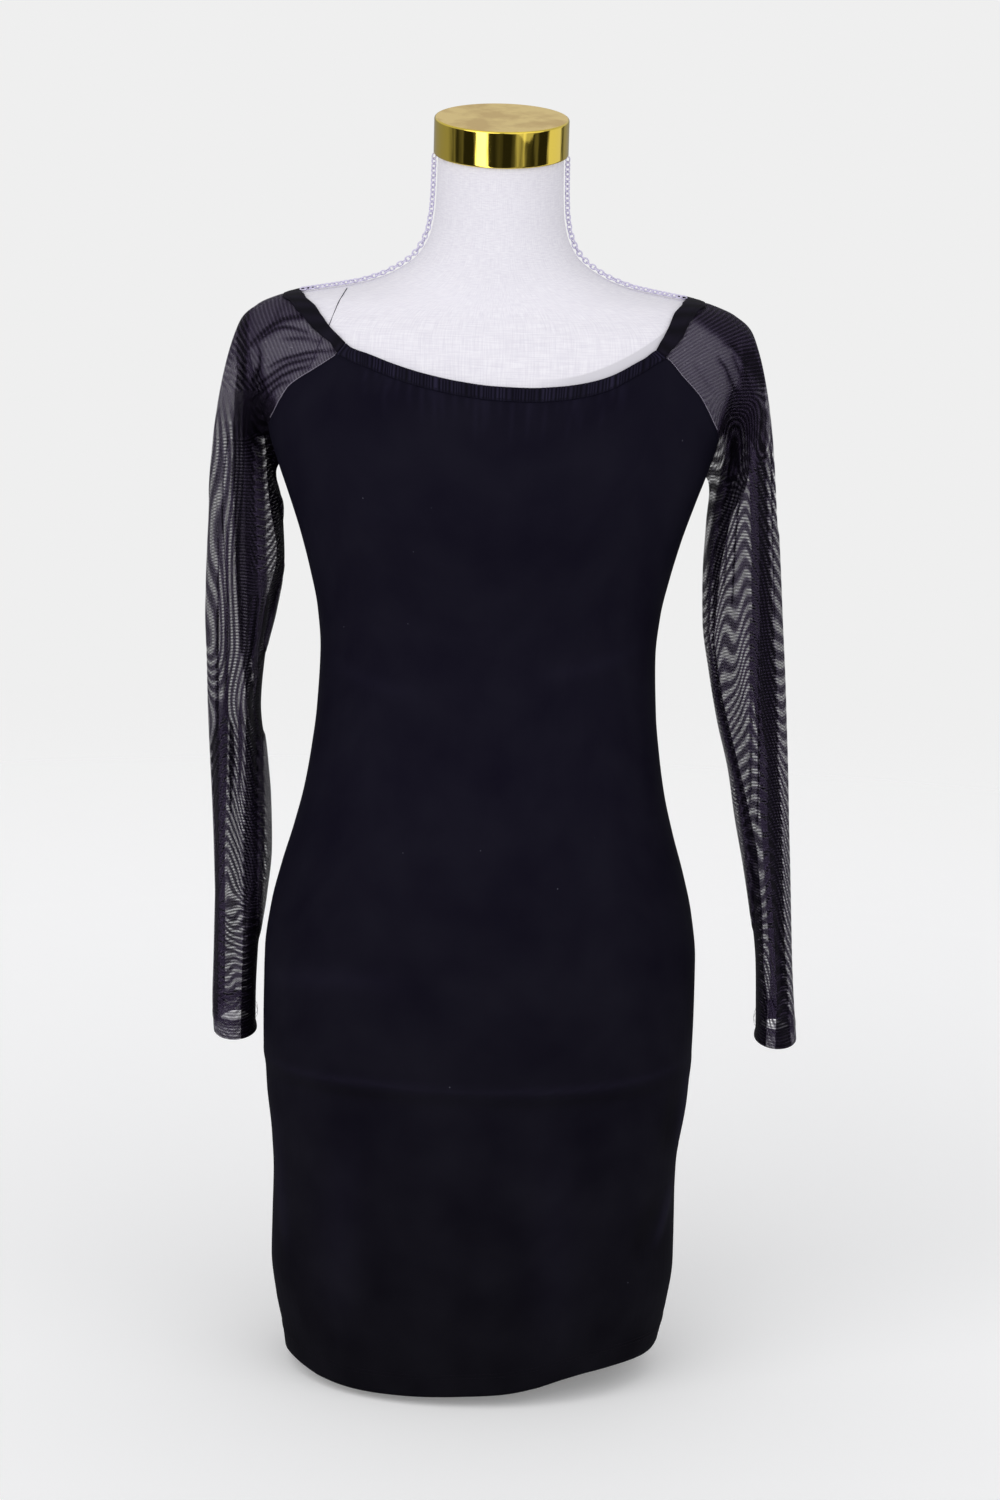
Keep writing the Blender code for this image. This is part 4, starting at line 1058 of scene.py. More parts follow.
# Flattened folds, where four layers lie on each other: height, and x of both edges, in mm
FOLDED_STRIPS = {
    "left": (
        ((823, -197, -195), (810, -200, -191), (793, -201, -189), (744, -201, -184.5),
         (624, -196, -180.5), (603, -194.5, -181), (582, -191.5, -185.5), (562, -189, -184),
         (544, -188.5, -181), (428, -191, -178.5), (272, -190, -180.5)),
        ((797, -188.5, -168.5), (778, -185, -168.5), (762, -179, -166.5), (714, -172.5, -166),
         (679, -167, -161.5), (663, -167, -162), (647, -170.5, -163.5), (633, -174.5, -168),
         (596, -180, -176), (549, -183, -178.5), (520, -182, -178.5)),
        ((683, -212.5, -212), (537, -213.5, -210.5), (514, -218, -210.5), (427, -216, -211),
         (290, -215.5, -209.5)),
        ((816, -187, -180), (794, -194, -172), (783, -200, -169), (771, -202, -165),
         (761, -202, -184)),
        ((872, -201, -192), (824, -200, -192), (810, -199, -194)),
        ((763, -206, -205), (731, -209.5, -208.5), (700, -209.5, -208.5), (636, -204.5, -204)),
        ((733, -185, -184), (637, -181, -179.5)),
        ((530, -202, -199.5), (503, -202, -198), (461, -201.5, -200.5)),
    ),
    "right": (
        ((840, 191, 200), (820, 190.5, 207.5), (793, 189.5, 210.5), (774, 200, 211),
         (755, 204.5, 211.5), (675, 210, 219), (566, 215, 229), (542, 218, 230.5),
         (517, 223, 231.5), (468, 224.5, 236.5), (360, 235, 243.5), (326, 238, 247.5),
         (279, 238.5, 252)),
        ((806, 181.5, 192.5), (787, 177, 195.5), (775, 183, 198), (755, 183.5, 199),
         (735, 181.5, 195.5), (715, 177.5, 185.5), (673, 173.5, 179), (612, 175.5, 176.5),
         (563, 181.5, 185.5), (491, 201, 205.5), (443, 210, 217), (393, 216.5, 223),
         (339, 220, 227), (318, 220, 230.5), (279, 220, 231)),
        ((811, 183, 190), (789, 176, 196), (776, 174, 200)),
        ((616, 211, 212.5), (520, 214.5, 216.5), (470, 215.5, 216.5)),
        ((729, 191, 192), (697, 188.5, 190), (649, 188.5, 189.5)),
        ((773, 214.5, 215.5), (629, 224, 224.5)),
    ),
}
# Drag folds of the yokes, as lines of (x, z) in mm, with each one's width in mm and its layers
YOKE_FOLDS = {
    "left": (
        (((-142, 861), (-150, 860), (-158, 859), (-165, 857), (-172, 853), (-178, 848),
          (-185, 841), (-191, 834), (-194, 828)), 1.5, 2.2),
        (((-145, 850), (-157, 852), (-163, 852), (-170, 850), (-176, 846), (-182, 841),
          (-187, 835)), 1.1, 2.4),
        (((-133, 844), (-145, 845), (-151, 845), (-157, 844), (-164, 843)), 1.0, 1.3),
        (((-122, 838), (-135, 837), (-145, 835), (-154, 832), (-162, 829), (-169, 825),
          (-174, 821)), 1.0, 2.2),
        (((-138, 832), (-145, 830), (-152, 828), (-160, 825), (-167, 820), (-174, 814),
          (-180, 808), (-186, 801)), 1.1, 2.3),
        (((-143, 825), (-150, 823), (-157, 820), (-164, 816), (-171, 810), (-177, 804),
          (-183, 797), (-188, 791)), 1.1, 2.6),
        (((-158, 813), (-166, 809), (-171, 804), (-175, 798), (-179, 790)), 1.1, 2.2),
        (((-184, 837), (-182, 829), (-182, 820), (-185, 811), (-187, 806)), 1.1, 2.4),
        (((-195, 838), (-195, 828), (-194, 815), (-194, 803)), 1.5, 1.6),
        (((-173, 845), (-171, 854), (-169, 862), (-163, 867)), 2.0, 0.5),
    ),
    "right": (
        (((171, 838), (174, 834), (178, 829), (181, 822), (184, 815), (187, 809)), 1.1, 1.9),
        (((183, 838), (187, 829), (190, 820)), 1.1, 1.4),
        (((189, 840), (193, 831), (194, 820)), 1.2, 2.0),
        (((176, 848), (184, 844), (189, 837), (194, 828)), 1.6, 1.4),
        (((152, 835), (160, 824), (169, 811)), 1.6, 0.25),
    ),
}
# The darker upper part of each yoke, above a line of (x, z) in mm, and how many layers it adds.
# It is partly the mesh lying more edge-on there, and partly painted shade drawn as extra layers
YOKE_SHADE = {
    "left": (((-120, 868), (-142, 861), (-161, 858), (-178, 849), (-186, 841), (-205, 820)), 0.50),
    "right": (((140, 872), (151, 866), (165, 857), (179, 847), (189, 837), (205, 815)), 1.50),
}
# How many layers lie over the form, in the hanging sleeve, and more in its folds and in its
# overlocked edge, what share of one layer lets light through, and how strong its waves are
YOKE_LAYERS, TUBE_LAYERS, FOLDED_LAYERS, OVERLOCK_LAYERS = 1.02, 1.12, 2.80, 1.3
LAYER_OPEN, WATERED = 0.27, 0.90
STRIP_RISE, STRIP_EDGE, DRAG_FOLD_RISE = 1.3 * MM, 0.5 * MM, 0.9 * MM
# The sheer cloth lies over the form above these heights, in mm, which sway across the right one
OVER_FORM = {"left": (765, 800, 0), "right": (738, 806, 12)}
# The same folds lie at the back, so much further in and lower, in mm
BACK_IN, BACK_DOWN = 1.5, 5
NET_THIN_LIT, NET_DENSE, NET_SHEEN = "#3b3248", "#0d0a12", "#b9b0dc"


def armhole(place):
    """The sleeve's upper edge, as angle and height, at places round it from under the arm."""
    folded = np.where(place > LOOP / 2, LOOP - place, place)
    steps = np.where(folded <= CORNER_PLACE, folded, LOOP / 2 - folded)
    angle = CORNER * steps / CORNER_PLACE
    height = np.where(
        folded <= CORNER_PLACE, read_pairs(RAGLAN_SEAM, angle), read_pairs(BAND_OUTER, angle)
    )
    return np.where(place > LOOP / 2, -angle, angle), height


def leaving_line(place):
    """The line where the sleeve leaves the form, as angle and height, at places round it."""
    folded = np.where(place > LOOP / 2, LOOP - place, place)
    places, angles, heights = zip(*LEAVING_LINE)
    angle = curve_through(places, angles, folded)
    return np.where(place > LOOP / 2, -angle, angle), curve_through(places, heights, folded)


def trough_depth(troughs, around, height):
    """How far the largest folds draw the sleeve in, by the angle round it and the height."""
    depth = 0.0
    for angle, deepest, spread, top, bottom in troughs:
        away = (around - angle + 180) % 360 - 180
        below_top = np.clip((top - height) / FOLD_FADE, 0, 1)
        above_bottom = np.clip((height - bottom) / FOLD_FADE, 0, 1)
        depth = depth + deepest * np.exp(-((away / spread) ** 2)) * (below_top * above_bottom)
    return depth


def tube(rows, troughs, side, around, height, inset=0.0):
    """Points of the hanging sleeve, by the angle from its side next to the body, over the front."""
    row = {
        name: curve_through(rows[:, 0], rows[:, i], height)
        for i, name in enumerate(SLEEVE_COLUMNS)
    }
    half_width = (row["outer"] - row["inner"]) / 2 - OUTLINE_ALLOWANCE - inset
    half_depth = row["half_depth"] - inset
    middle = (row["outer"] + row["inner"]) / 2
    drawn = 1 - trough_depth(troughs, around, height) / row["half_depth"]
    c, s = np.cos(np.radians(around)), np.sin(np.radians(around))
    x = side * (middle - half_width * c * (1 - FOLD_NARROWING * (1 - drawn)))
    y = row["centre"] - half_depth * s * drawn
    return np.stack(np.broadcast_arrays(x, y, height + 0 * around), -1)


def outness(points):
    """How far out points lie in the body's section at their height, where 1 is on the skin."""
    row = body_row(points[..., 2])
    y = points[..., 1] - row["centre"]
    n = row["squareness"]
    depth = np.where(y < 0, row["front"], row["back"])
    return ((np.abs(points[..., 0]) / row["half_width"]) ** n + (np.abs(y) / depth) ** n) ** (1 / n)


def pushed_clear(points, clear):
    """The points, moved out where they stand nearer to the skin than this."""
    probe = 0.4 * MM
    for _ in range(5):
        here = outness(points)
        slope = np.stack([(outness(points + probe * axis) - here) / probe for axis in np.eye(3)], -1)
        steep = np.linalg.norm(slope, axis=-1)
        short = np.maximum(clear - (here - 1) / steep, 0)
        points = points + (short / steep)[..., None] * slope
    return points


def clearance_at(points):
    """How clear of the skin the sleeve stays at points, more over a panel than past its seam."""
    row = body_row(points[..., 2])
    depth = np.where(points[..., 1] < 0, row["front"], row["back"])
    angle = np.degrees(
        np.arctan2(np.abs(points[..., 1]) / depth, np.abs(points[..., 0]) / row["half_width"])
    )
    over_panel = read_pairs(RAGLAN_SEAM, angle) + SEAM_REACH - points[..., 2]
    share = smooth_step(0, 2 * SEAM_REACH, over_panel)
    return YOKE_CLEARANCE + (PANEL_CLEARANCE - YOKE_CLEARANCE) * share


def cuff_rise(around):
    """How much higher the cuff is at each angle round it: only its back is."""
    return CUFF_BACK_RISE * np.clip(-np.sin(np.radians(around)), 0, 1)


def sleeve_grid(which, side):
    """Rows of points from inside the turned hem, down round the cuff, and up to under the seams."""
    rows, troughs, cuff = SLEEVES[which], TROUGHS[which], CUFF_HEIGHTS[which]
    place = np.concatenate((
        np.linspace(0, LOOP / 2, FRONT_COLUMNS, endpoint=False),
        np.linspace(LOOP / 2, LOOP, BACK_COLUMNS, endpoint=False),
    ))
    around = 360 * place / LOOP
    seam_angle, seam_height = armhole(place)
    leave_angle, leave_height = leaving_line(place)
    across = skin(leave_angle, leave_height) - skin(seam_angle, seam_height)
    reach = np.linalg.norm(across, axis=-1)
    # The seam's allowance lies under the panel or the band, and the cloth rises from there
    steps = [past / reach for past, lift in ALLOWANCE_ROWS]
    lifts = [lift for past, lift in ALLOWANCE_ROWS]
    for share in np.linspace(0, 1, YOKE_ROWS)[1:]:
        steps.append(np.maximum(YOKE_FIRST / reach, share))
        lifts.append(SHOULDER_GAP + YOKE_RISE * share)
    rings = []
    for share, lift in zip(steps, lifts):
        angle = seam_angle + (leave_angle - seam_angle) * np.minimum(share, 1)
        height = seam_height + (leave_height - seam_height) * np.minimum(share, 1)
        turned_angle = angle if side > 0 else 180 - angle
        rings.append(on_skin(turned_angle, height, np.full(len(angle), lift)))
    # From the shoulder the cloth bends over in a smooth curve until it hangs
    first = rings[-1]
    hang_from = rows[-1, 0]
    last = tube(rows, troughs, side, around, np.full(len(around), hang_from))
    reach = np.linalg.norm(last - first, axis=-1)[:, None]
    outer = ((1 - np.cos(np.radians(around))) / 2)[:, None]
    lead = np.array((side * LEAVES[0], 0.0, LEAVES[1]))
    lead = unit(lead + np.array((side * LEAVES_OUTER[0], 0, LEAVES_OUTER[1])) * outer)
    lead[:, 1] = LEAVES_TURNED * np.sin(np.radians(around))
    leave = unit(lead) * reach * (LEAVING_PULL[0] + LEAVING_PULL[1] * outer)
    arrive = np.array((0, 0, -1)) * reach * (HANGING_PULL[0] + HANGING_PULL[1] * outer)
    for s in np.linspace(0, 1, DROP_ROWS + 1)[1:]:
        ring = (
            first * ((1 + 2 * s) * (1 - s) ** 2) + last * (s * s * (3 - 2 * s))
            + leave * (s * (1 - s) ** 2) - arrive * (s * s * (1 - s))
        )
        widest = read_pairs(SHOULDER_LINE, ring[:, 2]) - OUTLINE_ALLOWANCE
        ring[:, 0] = np.clip(ring[:, 0], -widest, widest)
        rings.append(pushed_clear(ring, clearance_at(ring)))
    rise = cuff_rise(around)
    for h in np.linspace(hang_from, cuff, TUBE_ROWS)[1:]:
        near = smooth_step(CUFF_RISE_REACH, 0, h - cuff)
        rings.append(tube(rows, troughs, side, around, h + rise * near))
    for h in np.linspace(cuff, cuff + CUFF_HEM, HEM_ROWS):
        rings.append(tube(rows, troughs, side, around, h + rise, HEM_INSET))
    grid = np.stack(rings)
    hanging = len(ALLOWANCE_ROWS) - 1 + YOKE_ROWS
    # The rows from the yoke down to where the sleeve hangs are evened out, and pushed clear again
    start, end = len(ALLOWANCE_ROWS) + 2, hanging + 1 + DROP_ROWS
    for _ in range(SMOOTHINGS):
        between = (grid[start - 1 : end - 1] + grid[start + 1 : end + 1]) / 2
        grid[start:end] += 0.5 * (between - grid[start:end])
    end = hanging + DROP_ROWS + TUBE_ROWS - 1
    grid[hanging:end] = pushed_clear(grid[hanging:end], clearance_at(grid[hanging:end]))
    return grid[::-1].copy(), around


def hills(x, z, wide, tall, seed):
    """A smooth random field from -1 to 1, with hills this wide and tall."""
    random = np.random.default_rng(seed)
    field = 0.0
    for _ in range(9):
        turn = random.uniform(0, 2 * math.pi)
        phase = random.uniform(0, 2 * math.pi)
        size = random.uniform(2.2, 4.2)
        field = field + np.sin(size * (np.cos(turn) * x / wide + np.sin(turn) * z / tall) + phase)
    return field / 4


def strip_share(x, z, strips):
    """How much of a folded strip lies at each point, 0 to 1, by x and z in mm."""
    share = np.zeros(x.shape)
    for strip in strips:
        table = np.array(strip)[::-1]
        low, high = (np.interp(z, table[:, 0], table[:, i]) for i in (1, 2))
        edge = STRIP_EDGE / MM
        inside = smooth_step(-edge, edge, x - low) * smooth_step(-edge, edge, high - x)
        ends = smooth_step(-8, 2, z - table[0, 0]) * smooth_step(-6, 2, table[-1, 0] - z)
        share = np.maximum(share, inside * ends)
    return share


def outward(grid, side):
    """The way out of the sleeve at each point of its grid."""
    up = np.gradient(grid, axis=0)
    across = np.roll(grid, -1, 1) - np.roll(grid, 1, 1)
    return unit(np.cross(across, up)) * -side


# Ribbed stretch mesh: near-black violet threads with about a quarter of the light passing
# through one layer. Its ribs are 1 mm apart and are drawn 2.6 mm apart, so that they show.
# The watered-silk bands that two layers of ribs make are drawn as waves. The cloth's point
# attributes say how many layers lie on each other, with the yokes' painted shade drawn as more
# layers, and where waves and ribs run.
RIB_STRENGTH, UNEVEN_WAVES = 0.36, 9 * MM
GRAIN_ACROSS, GRAIN_ALONG, GRAIN_STRENGTH = 1.3 * MM, 2.4 * MM, 0.07
net, tree, shader = new_material(
    "Ribbed stretch mesh",
    {"Roughness": 0.6, "Specular IOR Level": 0.04,
     "Sheen Weight": 0.015, "Sheen Roughness": 0.3, "Sheen Tint": linear(NET_SHEEN)},
)
uv = add_node(tree, "ShaderNodeUVMap", uv_map="cloth").outputs[0]
layers_and_shade, watered, wave_phase, rib_phase = (
    add_node(tree, "ShaderNodeAttribute", attribute_name=name).outputs["Fac"]
    for name in ("layers_and_shade", "watered", "wave_phase", "rib_phase")
)


def sine_of(tree, phase):
    """The sine of a phase that counts whole turns."""
    turned_by = add_node(tree, "ShaderNodeMath", {0: phase, 1: 2 * math.pi}, operation="MULTIPLY")
    return add_node(tree, "ShaderNodeMath", {0: turned_by.outputs[0]}, operation="SINE").outputs[0]


uneven = add_node(
    tree, "ShaderNodeTexNoise", {"Vector": uv, "Scale": 1 / UNEVEN_WAVES, "Detail": 1.0}
).outputs[0]
strong = add_node(
    tree, "ShaderNodeMapRange", {"Value": uneven, 1: 0.3, 2: 0.7, 3: 0.7, 4: 1.1}
).outputs[0]
crest = add_node(
    tree, "ShaderNodeMapRange",
    {"Value": sine_of(tree, wave_phase), 1: -0.7, 2: 0.7, 3: -1.0, 4: 1.0},
).outputs[0]
swing = add_node(tree, "ShaderNodeMath", {0: crest, 1: watered}, operation="MULTIPLY").outputs[0]
swing = add_node(tree, "ShaderNodeMath", {0: swing, 1: strong}, operation="MULTIPLY").outputs[0]
ribbing = add_node(
    tree, "ShaderNodeMath", {0: sine_of(tree, rib_phase), 1: RIB_STRENGTH}, operation="MULTIPLY"
).outputs[0]
both = add_node(tree, "ShaderNodeMath", {0: swing, 1: ribbing}, operation="ADD").outputs[0]
stretched = add_node(
    tree, "ShaderNodeMapping", {"Vector": uv, "Scale": (1 / GRAIN_ACROSS, 1 / GRAIN_ALONG, 1)}
)
grain = add_node(
    tree, "ShaderNodeTexNoise", {"Vector": stretched.outputs[0], "Scale": 1.0, "Detail": 1.0}
).outputs[0]
grit = add_node(
    tree, "ShaderNodeMapRange",
    {"Value": grain, 1: 0.3, 2: 0.7, 3: -GRAIN_STRENGTH, 4: GRAIN_STRENGTH},
).outputs[0]
both = add_node(tree, "ShaderNodeMath", {0: both, 1: grit}, operation="ADD").outputs[0]
dense = add_node(tree, "ShaderNodeMath", {0: both, 1: 1.0}, operation="ADD").outputs[0]
# Pinholes of light where the ribs of all the layers in a fold happen to lie side by side
open_spot = add_node(
    tree, "ShaderNodeMapRange", {"Value": grain, 1: 0.66, 2: 0.72, 3: 1.0, 4: 0.45}
).outputs[0]
dense = add_node(tree, "ShaderNodeMath", {0: dense, 1: open_spot}, operation="MULTIPLY").outputs[0]
power = add_node(tree, "ShaderNodeMath", {0: layers_and_shade, 1: dense}, operation="MULTIPLY").outputs[0]
half = add_node(tree, "ShaderNodeMath", {0: power, 1: 0.5}, operation="MULTIPLY").outputs[0]
# The cloth's wall has two faces, so each of them stands for half of the layers
through = add_node(tree, "ShaderNodeMath", {0: LAYER_OPEN, 1: half}, operation="POWER").outputs[0]
solid = add_node(tree, "ShaderNodeMath", {0: 1.0, 1: through}, operation="SUBTRACT").outputs[0]
bump = add_node(tree, "ShaderNodeBump", {"Height": ribbing, "Strength": 0.5, "Distance": 0.2 * MM})
# Painted light: where few layers lie, the threads are drawn a paler violet, as if lit from both
# sides, and where many lie, near black
thick = add_node(tree, "ShaderNodeMapRange", {"Value": solid, 1: 0.55, 2: 0.92}).outputs[0]
colour = add_node(
    tree, "ShaderNodeMix", {0: thick, 6: linear(NET_THIN_LIT), 7: linear(NET_DENSE)}, data_type="RGBA"
)
tree.links.new(colour.outputs[2], shader.inputs["Base Color"])
tree.links.new(solid, shader.inputs["Alpha"])
tree.links.new(bump.outputs[0], shader.inputs["Normal"])

RIB_PERIOD = 2.6 * MM
# The yokes' ribs, by how many run across and up in a millimetre, the x in mm about which they
# bend, and how much they bend
RIB_WAY = {"left": (-0.92, 0.40, 150.0, 0.004), "right": (-0.34, 0.95, 170.0, 0.004)}


def left_waves(x, z):
    """The waves on the left sleeve, counted in whole turns, by x and z in mm.

    Long wood grain in its upper half, looped at its inner side, then nested arcs, and ripples
    above the cuff.
    """
    upper = 0.9 * hills(x, z, 13, 70, 5) + (x + 205) / 5.2
    looped = (z - 0.12 * (x + 178) ** 2) / 8.0 + 0.3 * hills(x, z, 12, 40, 6)
    upper = upper + (looped - upper) * smooth_step(-190, -188, x) * smooth_step(640, 655, z)
    middle = np.interp(z, (380, 450, 520), (-203, -204, -206))
    nested = (z - 540 + 3.6 * np.sqrt((x - middle) ** 2 + 3)) / 11 + 0.6 * hills(x, z, 14, 60, 9)
    ripples = (z - 385) / 6.5 - 12 + 1.0 * hills(x, z, 10, 26, 8)
    wave = upper + (nested - upper) * smooth_step(600, 510, z)
    return wave + (ripples - nested) * smooth_step(405, 370, z)


def right_waves(x, z):
    """The waves on the right sleeve: chevrons, with short ticks at its inner side below."""
    middle = np.interp(z, (280, 470, 620, 760), (234, 214, 199, 197))
    chevron = (z + 3.0 * np.sqrt((x - middle) ** 2 + 8)) / 12 + 1.5 * hills(x, z, 13, 60, 3)
    ticks = z / 3.6 + 0.6 * hills(x, z, 8, 20, 4)
    inner = np.interp(z, (318, 418, 491, 563, 632, 740), (219, 213, 201, 182, 174, 170))
    return chevron + (ticks - chevron) * (x < inner) * (z < 600)


for which, side in (("left", -1), ("right", 1)):
    grid, around = sleeve_grid(which, side)
    x, z = grid[..., 0] / MM, grid[..., 2] / MM
    behind = smooth_step(-5, 5, (grid[..., 1] - body_row(grid[..., 2])["centre"]) / MM)
    x, z = x + BACK_IN * side * behind, z + BACK_DOWN * behind
    low, high, sway = OVER_FORM[which]
    over_form = smooth_step(low, high, z + sway * np.sin(x / 7))
    folded = strip_share(x, z, FOLDED_STRIPS[which])
    line, shade = YOKE_SHADE[which]
    line = np.array(sorted(line))
    shaded = smooth_step(-3, 4, z - np.interp(x, line[:, 0], line[:, 1])) * over_form
    creases = np.zeros(x.shape)
    crease_lift = np.zeros(x.shape)
    for fold, width, depth in YOKE_FOLDS[which]:
        gap, along = away_from_line(np.stack((x, z, z), -1), fold)
        near = np.exp(-((gap / width) ** 2)) * np.sin(math.pi * np.clip(along, 0.04, 0.96)) ** 0.4
        creases = np.maximum(creases, depth * near)
        crease_lift = np.maximum(crease_lift, near)
    layer_and_shade_count = TUBE_LAYERS + (YOKE_LAYERS - TUBE_LAYERS) * over_form
    layer_and_shade_count = layer_and_shade_count + FOLDED_LAYERS * folded * (1 - 0.4 * over_form)
    # The painted shade of each yoke's upper part is added here as more layers
    layer_and_shade_count = layer_and_shade_count + shade * shaded + creases
    # The turned hem ends in an overlocked edge, which is denser than the mesh
    layer_and_shade_count[:2] += OVERLOCK_LAYERS
    wave = left_waves(x, z) if side < 0 else right_waves(x, z)
    across, up, middle, bend = RIB_WAY[which]
    out = side * x - middle
    ribs = across * out + up * z + bend * out * out
    ribs = ribs * over_form + z * (1 - over_form)
    # The cuff's two layers lie too close together for waves
    loose = (1 - over_form) * (1 - behind) * (0.2 + 0.8 * smooth_step(292, 306, z))
    lift = STRIP_RISE * folded * (1 - over_form) + DRAG_FOLD_RISE * crease_lift * over_form
    rows = np.arange(len(grid))
    free = ((rows > HEM_ROWS) & (rows < len(grid) - 5))[:, None]
    grid = grid + (lift * free)[..., None] * outward(grid, side)
    made = cloth_mesh(
        f"mesh_sleeve_{which}", grid, cloth_uv(grid, True), True, net,
        attributes={
            "layers_and_shade": layer_and_shade_count, "watered": WATERED * loose * (1 - 0.7 * folded),
            "wave_phase": wave, "rib_phase": ribs / (RIB_PERIOD / MM),
        },
    )
    if side < 0:
        made.data.flip_normals()
    wall = made.modifiers.new("Cloth", "SOLIDIFY")
    wall.thickness, wall.offset = NET_WALL, 1.0
    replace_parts(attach(made, "root"), f"sleeve_{which}")
# From the side, a line of sight passes through many walls of the sheer mesh
bpy.context.scene.cycles.transparent_max_bounces = 24

# Sewing
# Coverstitches of black thread at the hem, the neck and the cuffs, and the pale chain stitch
# that joins the mesh to the jersey. A loose dark thread lies on the form's left shoulder.
STITCH_PITCH, STITCH_LENGTH, STITCH_THREAD = 2.6 * MM, 2.1 * MM, 0.40 * MM
CHAIN_PITCH, CHAIN_LENGTH, CHAIN_THREAD = 1.5 * MM, 1.35 * MM, 0.45 * MM
# The rows of stitches, up from the edge of the skirt's hem, and down from the top of the cuff's
HEM_ROWS_UP, CUFF_ROWS_DOWN = (15.5 * MM, 18.5 * MM), (1.5 * MM, 4.5 * MM)
CUFF_STATIONS, CUFF_STITCH_GAP = 121, 0.2 * MM
# The raglan seams' stitches, from this angle on to just before the neck corner
CHAIN_FROM, CHAIN_SHORT_BY, CHAIN_UP, CHAIN_STATIONS = 24, 0.3, 0.1 * MM, 60
THREAD_BLACK, THREAD_PALE, THREAD_LOOSE = "#100d16", "#a9a2b4", "#2c2836"
# The loose thread's way over the form, as x and height
LOOSE_THREAD = (
    (-0.1165, 0.8785), (-0.1190, 0.8755), (-0.1220, 0.8710), (-0.1280, 0.8560),
    (-0.1350, 0.8430), (-0.1390, 0.8320), (-0.1430, 0.8220),
)
LOOSE_THREAD_RADIUS, LOOSE_THREAD_GAP = 0.3 * MM, 0.5 * MM


def thread_material(name, hex_colour):
    """A spun thread with a fine twist."""
    material, tree, shader = new_material(
        name, {"Roughness": 0.7, "Specular IOR Level": 0.1, "Base Color": linear(hex_colour)}
    )
    place = add_node(tree, "ShaderNodeTexCoord").outputs["Object"]
    twist = add_node(tree, "ShaderNodeTexNoise", {"Vector": place, "Scale": 1 / (0.3 * MM)})
    bump = add_node(
        tree, "ShaderNodeBump", {"Height": twist.outputs[0], "Strength": 0.3, "Distance": 0.1 * MM}
    )
    tree.links.new(bump.outputs[0], shader.inputs["Normal"])
    return material


# Spun polyester thread: black and a little shiny, so that each stitch catches the light.
black_thread = thread_material("Black spun thread", THREAD_BLACK)
# Pale spun thread: a lilac grey that draws a thin light line along the raglan seams.
pale_thread = thread_material("Pale spun thread", THREAD_PALE)
# Loose dark thread: soft grey, as thin as a hair on the white cover.
loose_thread = thread_material("Dark spun thread", THREAD_LOOSE)

stitch_tree, group = node_tree(
    "Stitch row",
    {"Pitch": STITCH_PITCH, "Length": STITCH_LENGTH, "Thread": STITCH_THREAD, "Material": None},
)
stations, along = stations_along(stitch_tree, group)
bead = add_node(
    stitch_tree, "GeometryNodeMeshUVSphere", {"Segments": 6, "Rings": 5, "Radius": 0.5}
)
size = add_node(
    stitch_tree, "ShaderNodeCombineXYZ", {0: group["Thread"], 1: group["Length"], 2: group["Thread"]}
)
stitch = add_node(
    stitch_tree, "GeometryNodeTransform", {"Geometry": bead.outputs[0], "Scale": size.outputs[0]}
)
stitches = add_node(
    stitch_tree, "GeometryNodeInstanceOnPoints",
    {"Points": stations, "Instance": stitch.outputs[0], "Rotation": along},
)
finish_tree(stitch_tree, group, stitches.outputs[0])

thread_tree, group = node_tree("Laid thread", {"Radius": LOOSE_THREAD_RADIUS, "Material": None})
line = add_node(thread_tree, "GeometryNodeMeshToCurve", {"Mesh": group["Geometry"]})
ring = add_node(
    thread_tree, "GeometryNodeCurvePrimitiveCircle", {"Resolution": 8, "Radius": group["Radius"]}
)
round_thread = add_node(
    thread_tree, "GeometryNodeCurveToMesh",
    {"Curve": line.outputs[0], "Profile Curve": ring.outputs[0], "Fill Caps": True},
)
finish_tree(thread_tree, group, round_thread.outputs[0])

# Each seam is a line of points on the cloth's outside
hem_seams = []
column = np.arange(PANEL_COLUMNS)
for grid, way, hem, top in panel_grids.values():
    for up in HEM_ROWS_UP:
        row = up / (top - hem) * (PANEL_ROWS - 1)
        low = np.floor(row).astype(int)
        part = (row - low)[:, None]
        spots = grid[low, column] * (1 - part) + grid[low + 1, column] * part
        hem_seams.append(spots + (JERSEY_WALL + 0.25 * STITCH_THREAD) * way[low, column])
cuff_seams = []
around = np.linspace(0, 360, CUFF_STATIONS)
for which, side in (("left", -1), ("right", 1)):
    rows, troughs = SLEEVES[which], TROUGHS[which]
    for down in CUFF_ROWS_DOWN:
        height = CUFF_HEIGHTS[which] + (CUFF_HEM - down) + cuff_rise(around)
        outset = NET_WALL + CUFF_STITCH_GAP
        cuff_seams.append(tube(rows, troughs, side, around, height, -outset))
raglan_seams = []
from_side = np.linspace(CHAIN_FROM, CORNER - CHAIN_SHORT_BY, CHAIN_STATIONS)
height = read_pairs(RAGLAN_SEAM, from_side) + CHAIN_UP
clear = np.full(CHAIN_STATIONS, SHOULDER_GAP + JERSEY_WALL)
for start in (0, 180):
    for angle in (start + from_side, start + (180 - from_side)):
        raglan_seams.append(on_skin(angle, height, clear))
# The loose thread's angles round the form, found from the places across it
angles = np.linspace(90, 180, 181)
route = []
for x, height in LOOSE_THREAD:
    across = skin(angles, np.full(len(angles), height))[:, 0]
    angle = np.interp(-x, -across, angles)
    route.append(skin(angle, height) + LOOSE_THREAD_GAP * skin_normal(angle, height))
for name, lines, grow, values in (
    ("hem_stitches", hem_seams, stitch_tree, {"Material": black_thread}),
    ("neck_stitches", neck_seams, stitch_tree, {"Material": black_thread}),
    ("cuff_stitches", cuff_seams, stitch_tree, {"Material": black_thread}),
    ("raglan_stitches", raglan_seams, stitch_tree,
     {"Material": pale_thread, "Pitch": CHAIN_PITCH, "Length": CHAIN_LENGTH,
      "Thread": CHAIN_THREAD}),
    ("loose_thread", [route], thread_tree, {"Material": loose_thread}),
):
    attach(grown(name, lines, grow, values), "root")

